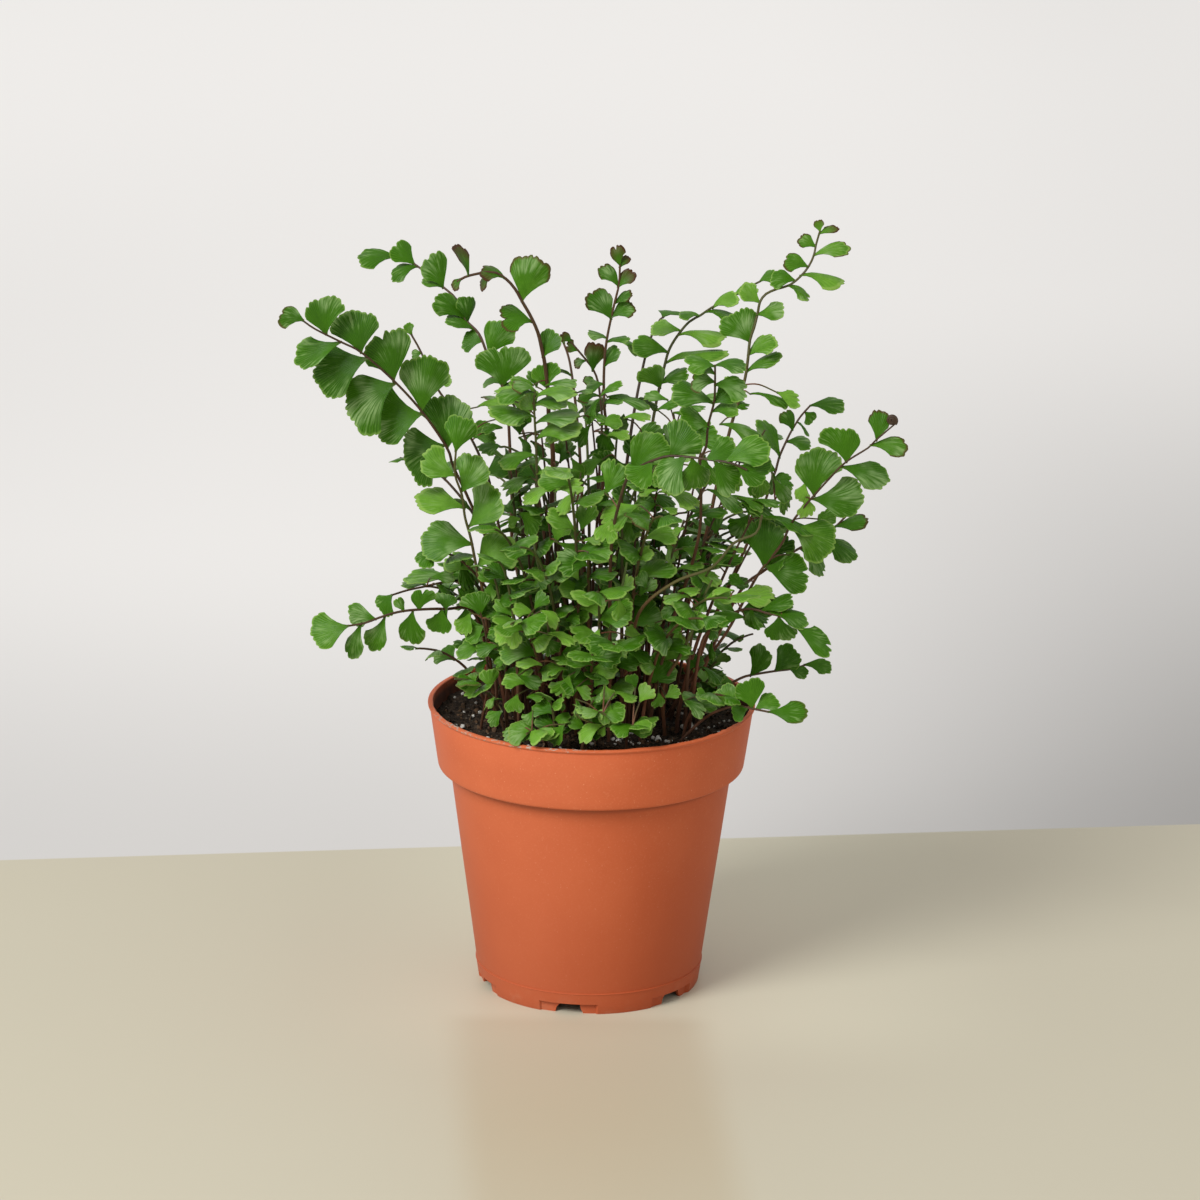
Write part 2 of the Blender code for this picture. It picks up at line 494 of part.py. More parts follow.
def smooth_path(points):
    """Points every few millimetres on a Catmull-Rom curve through the given points."""
    ends = [points[0] * 2 - points[1], *points, points[-1] * 2 - points[-2]]
    path = [points[0]]
    for before, start, end, after in zip(ends, ends[1:], ends[2:], ends[3:]):
        steps = max(1, round((end - start).length / STEM_SAMPLE))
        for step in range(1, steps + 1):
            t = step / steps
            pull = (end - before) * 0.5
            leave = (after - start) * 0.5
            path.append(start * (2 * t ** 3 - 3 * t ** 2 + 1) + pull * (t ** 3 - 2 * t ** 2 + t)
                        + end * (3 * t ** 2 - 2 * t ** 3) + leave * (t ** 3 - t ** 2))
    return path


def simplify(path, tolerance):
    """Drops the points that lie within the tolerance of the line between those kept."""
    start, end = path[0], path[-1]
    chord = end - start
    worst, index = 0.0, 0
    for number in range(1, len(path) - 1):
        share = min(max((path[number] - start).dot(chord) / chord.length_squared, 0.0), 1.0)
        off = (path[number] - start - chord * share).length
        if off > worst:
            worst, index = off, number
    if worst <= tolerance:
        return [start, end]
    return simplify(path[:index + 1], tolerance)[:-1] + simplify(path[index:], tolerance)


def dense(path):
    """Points about a millimetre apart along a polyline, for measuring how far stems are apart."""
    found = []
    for start, end in zip(path, path[1:]):
        steps = max(1, math.ceil((end - start).length / MM))
        for step in range(steps):
            found.append(start.lerp(end, step / steps))
    found.append(path[-1])
    return np.array([tuple(point) for point in found])


def ruled_route(at):
    """A stem that rises from its base and arches outwards, as points over the soil."""
    azimuth, base, reach, height = at
    turn = math.radians(azimuth)
    sway = math.radians(SWAY_DEG * jitter(int(reach + height), 5))
    points = []
    for share in RULED_SHARES:
        out = (base + (reach - base) * share ** LEAN_POWER) * MM
        rise = height * math.sin(share * math.pi / 2) ** RISE_POWER * MM
        swing = turn + sway * share
        points.append(Vector((out * math.cos(swing), out * math.sin(swing), SOIL_EDGE_Z + rise)))
    return (base * math.cos(turn), base * math.sin(turn)), points


def bent(points, bow, drift, drawn):
    """Moves a stem's points aside: bow in its middle, drift at its tip, both in metres."""
    moved = []
    for number, point in enumerate(points):
        share = (number + 1) / len(points)
        amount = bow * math.sin(math.pi * share) + drift * share
        if drawn:
            away = (point - EYE).normalized()
            moved.append(point + away * (amount / away.y))
        else:
            around = Vector((-point.y, point.x, 0.0)).normalized()
            moved.append(point + around * amount)
    return moved


def stem_polyline(base, points):
    x, y = base[0] * MM, base[1] * MM
    level = soil_height(math.hypot(x, y))
    foot = Vector((x, y, level - HOLE_DEPTH + GAP))
    collar = Vector((x, y, level + STEM_COLLAR))
    return [foot, *simplify(smooth_path([collar, *points]), STEM_TOLERANCE)]


def lay_stems(fronds):
    """Gives each frond the first bend of its stem that is clear of the stems laid before it."""
    laid = []
    for frond in fronds:
        best = None
        for bow, drift in BENDS:
            line = stem_polyline(frond["base"], bent(frond["points"], bow * MM, drift * MM, frond["drawn"]))
            cloud = dense(line)
            room = 1.0
            for other, radius in laid:
                apart = np.sqrt(((cloud[:, None, :] - other[None, :, :]) ** 2).sum(axis=2)).min()
                room = min(room, apart - radius - frond["stem"] * MM)
            if best is None or room > best[0]:
                best = (room, line, cloud)
            if room > STEM_APART:
                break
        room, frond["line"], cloud = best
        laid.append((cloud, frond["stem"] * MM))
        if room < STEM_APART:
            print(frond["name"], "is", round(room / MM, 2), "mm from another stem")


def on_line_as_seen(line, across, down):
    """The point of a polyline that is seen nearest to (across, down), and the line's direction there."""
    ray = view_ray(across, down).normalized()
    best = None
    for start, end in zip(line[1:], line[2:]):
        span = end - start
        flat_span = span - ray * span.dot(ray)
        flat_start = (start - EYE) - ray * (start - EYE).dot(ray)
        share = min(max(-flat_start.dot(flat_span) / flat_span.length_squared, 0.0), 1.0)
        off = (flat_start + flat_span * share).length
        if best is None or off < best[0]:
            best = (off, start + span * share, span.normalized())
    return best[1:]


def rooted(root, along, run):
    """The root point moved back into the stem, deeper where the leaflet runs along the stem."""
    aslant = along.cross(run).length
    return root - along * (ROOT_SINK / max(aslant, ROOT_SINK / DEEPEST_ROOT))


def drawn_leaflets(frond):
    """Leaflets of a drawn frond, as root, direction, face, length and width."""
    leaflets = []
    for across, down, tip_across, tip_down, width, turn in frond["leaflets"]:
        root, run = on_line_as_seen(frond["line"], across, down)
        tip = seen_at(tip_across, tip_down, root.y)
        along = (tip - root).normalized()
        to_eye = (EYE - root).normalized()
        flat = (to_eye - along * to_eye.dot(along)).normalized()
        aside = flat.cross(along)
        if aside.z < 0:
            aside = -aside
        face = flat * math.cos(math.radians(turn)) + aside * math.sin(math.radians(turn))
        root = rooted(root, along, run)
        leaflets.append((root, along, face, (tip - root).length, width * unit_size(root)))
    return leaflets


def ruled_leaflets(frond, first):
    """Leaflets of a frond placed by rule: alternate, spread and faced up and outwards."""
    line = frond["line"][1:]
    spans = [(end - start).length for start, end in zip(line, line[1:])]
    whole = sum(spans)
    count = frond["leaflets"]
    leaflets = []
    for number in range(count):
        share = FIRST_LEAFLET + (1.0 - FIRST_LEAFLET) * (number + 0.6) / count
        last = number == count - 1
        left = whole * (1.0 if last else share)
        for start, end, span in zip(line, line[1:], spans):
            if left <= span:
                break
            left -= span
        run = (end - start).normalized()
        root = start + run * min(left, span)
        outward = Vector((root.x, root.y, 0.0)).normalized()
        side = run.cross(Vector((0.0, 0.0, 1.0)))
        side = outward.cross(Vector((0.0, 0.0, 1.0))) if side.length < 0.2 else side
        side = side.normalized() * (1 if number % 2 else -1)
        spread = 0.0 if last else math.radians(SPREAD_DEG + SPREAD_SWING_DEG * jitter(first + number, 1))
        along = (run * math.cos(spread) + side * math.sin(spread)).normalized()
        up = Vector((0.0, 0.0, 1.0)) + outward * (FACE_LEAN + FACE_SWING * jitter(first + number, 2))
        up += side * FACE_ASIDE * jitter(first + number, 3)
        face = (up - along * up.dot(along)).normalized()
        size = 1.0 - SHRINK * (share - LONGEST_AT) ** 2
        length = frond["leaf"] * MM * size * (1.0 + LENGTH_SPREAD * jitter(first + number, 4))
        width = length * (1.0 + WIDTH_SPREAD * jitter(first + number, 6))
        leaflets.append((rooted(root, along, run), along, face, length, width))
    return leaflets


def blade(leaflet, attempt, number, grow=0.0, start=0.0):
    """A leaflet's solid: facets between its outer points, pushed through by its thickness.

    grow widens it all round, and start leaves out that share of it at the root.
    """
    root, along, face, length, width = leaflet
    turn, lift, size = attempt
    side = face.cross(along)
    lifted = Matrix.Rotation(math.radians(lift), 3, side)
    along = lifted @ along
    face = Matrix.Rotation(math.radians(turn), 3, along) @ (lifted @ face)
    side = face.cross(along)
    margin = SMALL_MARGIN if length < SMALL_LEAF else MARGIN
    length = length * size + grow
    width = width * size + 2 * grow
    droop = DROOP + DROOP_SPREAD * jitter(number, 7)
    cup = CUP_SPREAD * jitter(number, 8)
    outline = [(length * start, -width * start / 2, 0.0)] if start else [(-grow, 0.0, 0.0)]
    for across, lobe in margin:
        angle = FAN_HALF_ANGLE * across
        reach = (1.0 - SHOULDER * abs(across) ** 2.2) * lobe
        rise = -droop * length * reach ** 2 + cup * width * across ** 2
        outline.append((length * reach * math.cos(angle), width * reach * math.sin(angle), rise))
    if start:
        outline.append((length * start, width * start / 2, 0.0))
    thick = BLADE + 2 * grow
    bm = bmesh.new()
    verts = [bm.verts.new(root + along * x + side * y + face * (z - thick / 2)) for x, y, z in outline]
    notches = verts[1:len(margin) + 1:2]
    lobes = verts[2:len(margin):2]
    corners = [(verts[0], notches[0], notches[-1])]
    if start:
        corners.append((verts[0], notches[-1], verts[-1]))
    for before, after in zip(notches, notches[1:-1]):
        corners.append((before, after, notches[-1]))
    for before, lobe, after in zip(notches, lobes, notches[1:]):
        corners.append((before, lobe, after))
    facets = [bm.faces.new(corner) for corner in corners]
    pushed = bmesh.ops.extrude_face_region(bm, geom=facets, use_keep_orig=True)
    moved = [item for item in pushed["geom"] if isinstance(item, bmesh.types.BMVert)]
    bmesh.ops.translate(bm, verts=moved, vec=face * thick)
    bmesh.ops.recalc_face_normals(bm, faces=bm.faces)
    return bm


def box_of(points):
    return np.min(points, axis=0), np.max(points, axis=0)


def obstacle(bm, owner):
    """What a later leaflet has to stay clear of: its owner, its box and its tree of faces."""
    low, high = box_of([tuple(vert.co) for vert in bm.verts])
    return owner, low, high, BVHTree.FromBMesh(bm)


def is_clear(bm, obstacles):
    low, high = box_of([tuple(vert.co) for vert in bm.verts])
    tree = None
    for _, other_low, other_high, other_tree in obstacles:
        if (low > other_high).any() or (other_low > high).any():
            continue
        tree = tree or BVHTree.FromBMesh(bm)
        if tree.overlap(other_tree):
            return False
    return True


def stem_mesh(frond):
    """The stem as a bevelled curve made a mesh, with its caps welded."""
    curve = bpy.data.curves.new(frond["name"], "CURVE")
    curve.dimensions = "3D"
    curve.bevel_depth = 1.0
    curve.bevel_resolution = 0
    curve.use_fill_caps = True
    spline = curve.splines.new("POLY")
    line = frond["line"]
    spline.points.add(len(line) - 1)
    for number, (point, place) in enumerate(zip(spline.points, line)):
        share = number / (len(line) - 1)
        point.co = (*place, 1.0)
        point.radius = (frond["stem"] + (frond["tip"] - frond["stem"]) * share ** STEM_TAPER) * MM
    holder = bpy.data.objects.new(frond["name"] + "_curve", curve)
    bpy.context.scene.collection.objects.link(holder)
    depsgraph = bpy.context.evaluated_depsgraph_get()
    mesh = bpy.data.meshes.new_from_object(holder.evaluated_get(depsgraph))
    bpy.data.objects.remove(holder, do_unlink=True)
    bpy.data.curves.remove(curve)
    bm = bmesh.new()
    bm.from_mesh(mesh)
    bpy.data.meshes.remove(mesh)
    bmesh.ops.remove_doubles(bm, verts=bm.verts, dist=WELD)
    bmesh.ops.recalc_face_normals(bm, faces=bm.faces)
    return bm


def knob_mesh(frond):
    """The rolled tip of a young frond."""
    bm = bmesh.new()
    bmesh.ops.create_icosphere(bm, subdivisions=1, radius=frond["knob"] * MM)
    bmesh.ops.translate(bm, verts=bm.verts, vec=frond["line"][-1])
    return bm


def fuse(stem, parts):
    """One solid from a stem and the leaflets on it, with the leaflets' own objects removed."""
    join = stem.modifiers.new("fuse", "BOOLEAN")
    join.operation = "UNION"
    join.operand_type = "COLLECTION"
    join.collection = parts
    join.solver = "EXACT"
    depsgraph = bpy.context.evaluated_depsgraph_get()
    mesh = bpy.data.meshes.new_from_object(stem.evaluated_get(depsgraph))
    mesh.shade_smooth()
    mesh.set_sharp_from_angle(angle=SHARP_ANGLE)
    stem.modifiers.clear()
    old = stem.data
    stem.data = mesh
    bpy.data.meshes.remove(old)
    for piece in list(parts.objects):
        leaf_data = piece.data
        bpy.data.objects.remove(piece, do_unlink=True)
        bpy.data.meshes.remove(leaf_data)
    bpy.data.collections.remove(parts)


def evaluated_bmesh(piece):
    depsgraph = bpy.context.evaluated_depsgraph_get()
    bm = bmesh.new()
    bm.from_object(piece, depsgraph)
    return bm


def plan_fronds():
    """Every frond with its name, stem size, base and route, ready for its stem to be laid."""
    fronds = []
    for number, given in enumerate(DRAWN_FRONDS + RULED_FRONDS):
        frond = dict(given, drawn="route" in given)
        frond["name"] = f"frond_{number + 1:02d}_{given['name']}"
        if frond["drawn"]:
            frond["points"] = [seen_at(across, down, depth * MM) for across, down, depth in given["route"]]
        else:
            frond["base"], frond["points"] = ruled_route(given["at"])
            frond["stem"] = RULED_STEM + RULED_STEM_PER_HEIGHT * given["at"][3]
        frond.setdefault("tip", TIP_RADIUS)
        fronds.append(frond)
    return fronds


def add_leaflets(frond, leaflets, first, obstacles, parts):
    """Puts each leaflet where it is clear of the other fronds, and of its own beyond their roots."""
    others = [item for item in obstacles if item[0] != frond["name"]]
    own = []
    for number, leaflet in enumerate(leaflets, start=first):
        for attempt in TRIES:
            wide = blade(leaflet, attempt, number, CLEARANCE)
            body = blade(leaflet, attempt, number, CLEARANCE, ROOT_SHARE)
            clear = is_clear(wide, others) and is_clear(body, own)
            if clear:
                obstacles.append(obstacle(wide, frond["name"]))
                own.append(obstacle(body, frond["name"]))
            wide.free()
            body.free()
            if clear:
                link_mesh("leaflet", blade(leaflet, attempt, number), parts)
                break
        else:
            print("no room for leaflet", number - first, "of", frond["name"])


def build():
    fern = make_collection("potted_mahogany_fern")
    pot_cutters = make_collection("pot_cutters")
    soil_cutters = make_collection("soil_cutters")
    clay = make_material("terracotta_orange_plastic", (0.58, 0.155, 0.062), 0.5)
    earth = make_material("potting_soil", (0.045, 0.028, 0.018), 0.95)
    leaf_green = make_material("fern_leaf_green", (0.075, 0.21, 0.035), 0.42)

    fronds = plan_fronds()
    lay_stems(fronds)
    pot = make_pot(fern, pot_cutters, clay)
    feet = [(frond["line"][0].x, frond["line"][0].y, frond["stem"] * MM) for frond in fronds]
    soil = make_soil(feet, fern, soil_cutters, earth)

    obstacles = []
    for holder in (pot, soil):
        solid = evaluated_bmesh(holder)
        obstacles.append(obstacle(solid, holder.name))
        solid.free()
    for frond in fronds:
        frond["solid"] = stem_mesh(frond)
        obstacles.append(obstacle(frond["solid"], frond["name"]))

    first = 0
    for frond in fronds:
        leaflets = drawn_leaflets(frond) if frond["drawn"] else ruled_leaflets(frond, first)
        parts = make_collection(frond["name"] + "_parts")
        add_leaflets(frond, leaflets, first, obstacles, parts)
        if "knob" in frond:
            link_mesh("knob", knob_mesh(frond), parts)
        first += len(leaflets)
        stem = link_mesh(frond["name"], frond["solid"], fern)
        fuse(stem, parts)
        stem.data.materials.clear()
        stem.data.materials.append(leaf_green)


build()
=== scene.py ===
import math

import bmesh
import bpy
import numpy as np
from mathutils import Matrix


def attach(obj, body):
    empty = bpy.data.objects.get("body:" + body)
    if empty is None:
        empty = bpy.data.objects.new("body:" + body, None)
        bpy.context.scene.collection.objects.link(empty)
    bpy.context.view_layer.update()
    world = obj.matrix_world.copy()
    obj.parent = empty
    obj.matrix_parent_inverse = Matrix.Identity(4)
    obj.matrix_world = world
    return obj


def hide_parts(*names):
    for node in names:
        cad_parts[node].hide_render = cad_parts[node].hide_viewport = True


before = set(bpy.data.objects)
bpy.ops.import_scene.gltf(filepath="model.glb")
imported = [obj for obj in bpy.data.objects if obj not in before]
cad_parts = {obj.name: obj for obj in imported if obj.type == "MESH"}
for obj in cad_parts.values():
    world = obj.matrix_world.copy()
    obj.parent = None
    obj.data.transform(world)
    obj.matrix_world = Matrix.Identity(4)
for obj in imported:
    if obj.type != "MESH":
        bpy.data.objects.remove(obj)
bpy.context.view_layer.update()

mm = 0.001
golden = 0.6180339887


# shader maths

class Wire:
    # one socket of a node tree, so that 1 - mask * 0.5 adds its own Math nodes
    def __init__(self, tree, socket=None):
        self.tree, self.socket = tree, socket

    def make(self, kind, settings=None, values=None, output=0):
        # adds a node: its settings first, then its sockets by name or number, and gives one of its outputs
        node = self.tree.nodes.new(kind)
        for key, value in (settings or {}).items():
            setattr(node, key, value)
        for key, value in (values or {}).items():
            if isinstance(value, Wire):
                self.tree.links.new(value.socket, node.inputs[key])
            else:
                node.inputs[key].default_value = value
        return Wire(self.tree, node.outputs[output])

    def math(self, operation, first, second=0.0):
        return self.make("ShaderNodeMath", {"operation": operation}, {0: first, 1: second})

    def __add__(self, other):
        return self.math("ADD", self, other)

    def __sub__(self, other):
        return self.math("SUBTRACT", self, other)

    def __mul__(self, other):
        return self.math("MULTIPLY", self, other)

    def __pow__(self, other):
        return self.math("POWER", self, other)

    def __rsub__(self, other):
        return self.math("SUBTRACT", other, self)

    __radd__, __rmul__ = __add__, __mul__

    def sine(self):
        return self.math("SINE", self)

    def size(self):
        return self.math("ABSOLUTE", self)

    def ramp(self, low, high):
        # 0 below low, 1 above high, eased between; low above high turns it round
        return self.make("ShaderNodeMapRange", {"interpolation_type": "SMOOTHSTEP"},
                         {"Value": self, "From Min": low, "From Max": high})

    def mix(self, first, second):
        # first where this is 0, second where it is 1, for colours
        values = {0: self}
        for place, colour in ((6, first), (7, second)):
            values[place] = colour if isinstance(colour, Wire) else (*colour, 1.0)
        return self.make("ShaderNodeMix", {"data_type": "RGBA", "clamp_factor": True}, values, 2)

    def covered(self, *layers):
        # this colour with others laid over it in turn, each as far as its mask says
        colour = self
        for mask, tint in layers:
            colour = mask.mix(colour, tint)
        return colour

    def times(self, amounts):
        return self.make("ShaderNodeVectorMath", {"operation": "MULTIPLY"}, {0: self, 1: amounts})

    def noise(self, scale, detail=2.0, rough=0.5, twist=0.0):
        return self.make("ShaderNodeTexNoise", None, {"Vector": self, "Scale": scale, "Detail": detail,
                                                      "Roughness": rough, "Distortion": twist})

    def cells(self, scale, output=0):
        return self.make("ShaderNodeTexVoronoi", None, {"Vector": self, "Scale": scale}, output)

    def stored(self, name, output="Vector"):
        # what the mesh stores for each point under this name
        return self.make("ShaderNodeAttribute", {"attribute_name": name}, None, output)

    def parts(self):
        return [self.make("ShaderNodeSeparateXYZ", None, {0: self}, place) for place in range(3)]

    def bump(self, distance, strength=1.0):
        return self.make("ShaderNodeBump", None, {"Height": self, "Distance": distance, "Strength": strength})


def makeMaterial(name, finish):
    # finish(wire, place) gives the Principled sockets: place is the Object coordinate
    material = bpy.data.materials.new(name)
    material.use_nodes = True
    tree = material.node_tree
    wire = Wire(tree)
    place = wire.make("ShaderNodeTexCoord", None, None, "Object")
    shader = tree.nodes["Principled BSDF"]
    for key, value in finish(wire, place).items():
        if isinstance(value, Wire):
            tree.links.new(value.socket, shader.inputs[key])
        else:
            shader.inputs[key].default_value = value
    return material


def plasticFinish(wire, place):
    # matt terracotta plastic: faint mottling, fine pale specks, scuffs, an inner wall darkened by dirt and painted
    # shade, grey deposits on the lip's front left, painted shade towards foot and sides, a painted shadow line in
    # the crease under the collar, painted light on the lit left front, dusty at the foot
    x, y, z = place.parts()
    inside = wire.stored("inside", "Fac")
    outside = 1 - inside
    mottle = place.noise(38.0, 3.0)
    grain = place.noise(1500.0, 2.0, 0.6)
    dots = place.cells(980.0).ramp(0.22, 0.10) * place.cells(980.0, 1).parts()[0].ramp(0.88, 0.94)
    scuffs = place.times((1.0, 1.0, 3.0)).noise(260.0, 4.0, 0.7, 1.5).ramp(0.66, 0.76)
    # the inner wall is darkened partly for dirt and partly as painted shade
    grimeAndShade = (place.noise(160.0, 4.0, 0.65).ramp(0.25, 0.75) * 0.25 + 0.72) * inside
    grimeAndShade = grimeAndShade * z.ramp(95.7 * mm, 93.4 * mm)
    lipFront = z.ramp(94.9 * mm, 95.7 * mm) * x.ramp(8 * mm, -12 * mm) * y.ramp(-10 * mm, -22 * mm)
    crust = place.times((1.0, 1.0, 2.0)).noise(480.0, 4.0, 0.8).ramp(0.52, 0.58) * lipFront
    # painted shade: darker towards the foot, at both sides, and on the body just below the collar
    sides = x.ramp(0.0, 44 * mm) * 0.28 + x.ramp(-22 * mm, -54 * mm) * 0.30
    shade = (z.ramp(76 * mm, -6 * mm) * 0.75 + z.ramp(74.9 * mm, 72 * mm) * 0.22 + sides) * outside
    # painted shadow line in the crease under the collar
    creaseShadow = z.ramp(72.0 * mm, 73.7 * mm) * z.ramp(75.1 * mm, 74.8 * mm) * outside
    # painted light on the lit left front of the pot
    litSideLight = x.ramp(26 * mm, -20 * mm) * (x.ramp(-58 * mm, -22 * mm) * 0.7 + 0.3) * outside
    dust = z.ramp(9 * mm, 0.0) * place.noise(240.0, 3.0).ramp(0.45, 0.8)
    colour = mottle.ramp(0.3, 0.7).mix((0.600, 0.124, 0.041), (0.655, 0.147, 0.052)).covered(
        (grain.ramp(0.52, 0.78) * 0.35, (0.74, 0.25, 0.12)), (dots * 0.55, (0.82, 0.40, 0.23)),
        (scuffs * 0.22, (0.78, 0.36, 0.22)), (grimeAndShade, (0.050, 0.022, 0.012)), (crust * 0.92, (0.44, 0.47, 0.41)),
        (shade * 0.75, (0.345, 0.057, 0.015)), (creaseShadow * 0.48, (0.12, 0.024, 0.010)),
        (litSideLight * 0.22, (0.640, 0.190, 0.095)), (dust * 0.20, (0.50, 0.26, 0.16)))
    rough = 0.47 + mottle * 0.08 + grain * 0.06 + crust * 0.3
    relief = grain * 0.6 + place.noise(420.0, 2.0) * 0.5 + crust * 1.5 + scuffs * 0.3
    return {"Base Color": colour, "Roughness": rough, "Normal": relief.bump(0.06 * mm, 0.55),
            "Specular IOR Level": 0.28}


def soilFinish(wire, place):
    # damp peat: near-black crumbs with lighter brown fibres and a few grey grains
    crumbs = place.noise(620.0, 6.0, 0.8)
    clods = place.noise(110.0, 3.0)
    fibres = place.times((1.0, 2.6, 1.0)).noise(700.0, 3.0, 0.7, 2.0).ramp(0.62, 0.72)
    grit = place.cells(760.0).ramp(0.34, 0.18) * place.cells(760.0, 1).parts()[1].ramp(0.78, 0.84)
    colour = crumbs.ramp(0.38, 0.64).mix((0.008, 0.005, 0.003), (0.098, 0.064, 0.040)).covered(
        (clods.ramp(0.45, 0.75) * 0.5, (0.045, 0.027, 0.016)), (fibres * 0.55, (0.155, 0.100, 0.055)),
        (grit * 0.6, (0.30, 0.27, 0.22)))
    bump = (crumbs * 1.4 + clods * 0.8 + fibres * 0.3 + grit * 0.3).bump(1.1 * mm, 1.0)
    return {"Base Color": colour, "Roughness": 0.93 - grit * 0.2, "Normal": bump, "Specular IOR Level": 0.25}


def crumbFinish(wire, place):
    # bark and peat crumbs, from black to warm brown
    pick = place.noise(330.0, 2.0)
    colour = pick.ramp(0.38, 0.62).mix((0.018, 0.011, 0.007), (0.120, 0.070, 0.038))
    bump = place.noise(1300.0, 4.0, 0.7).bump(0.3 * mm, 0.8)
    return {"Base Color": colour, "Roughness": 0.86 + pick * 0.1, "Normal": bump, "Specular IOR Level": 0.25}


def perliteFinish(wire, place):
    # foamed glass grains: chalk white with grey pits and a little soil on them
    pits = place.noise(1700.0, 4.0, 0.7)
    stain = place.noise(300.0, 3.0)
    colour = pits.ramp(0.30, 0.62).mix((0.34, 0.31, 0.26), (0.80, 0.79, 0.75))
    colour = colour.covered((stain.ramp(0.52, 0.78) * 0.55, (0.22, 0.16, 0.10)))
    return {"Base Color": colour, "Roughness": 0.82 + stain * 0.1, "Normal": pits.bump(0.35 * mm, 0.9)}


def twigFinish(wire, place):
    # dead stems and roots on the soil, straw to brown
    streak = place.times((1.0, 1.0, 0.4)).noise(520.0, 4.0, 0.65)
    colour = streak.ramp(0.3, 0.7).mix((0.085, 0.048, 0.026), (0.26, 0.17, 0.095))
    return {"Base Color": colour, "Roughness": 0.7 + streak * 0.2, "Normal": streak.bump(0.2 * mm, 0.8)}


def stemFinish(wire, place):
    # wiry polished stem: mahogany at the foot, nearly black higher up, green where it is young, darker close to
    # the soil as soil stain and painted shade; spot holds the share of its length, tone how green and how red it
    # is
    share = wire.stored("spot").parts()[1]
    green, redness, _ = wire.stored("tone").parts()
    streak = place.times((1.0, 1.0, 0.12)).noise(900.0, 4.0, 0.65)
    patch = place.noise(150.0, 3.0)
    # darker close to the soil: partly soil stain, partly painted shade
    foot = place.parts()[2].ramp(106 * mm, 90 * mm)
    greening = (green * (share.ramp(0.15, 0.8) * 0.8 + 0.3 + (patch - 0.5) * 0.9)).ramp(0.05, 0.75)
    colour = redness.mix((0.058, 0.026, 0.013), (0.200, 0.070, 0.035)).covered(
        (streak.ramp(0.35, 0.7) * 0.55, (0.26, 0.125, 0.065)),
        (share.ramp(0.25, 0.75) * 0.72, (0.030, 0.020, 0.010)),
        (foot * 0.62, (0.030, 0.018, 0.011)), (greening, (0.085, 0.125, 0.028)))
    return {"Base Color": colour, "Roughness": 0.40 + streak * 0.22, "Normal": streak.bump(0.12 * mm, 0.6),
            "Specular IOR Level": 0.3}


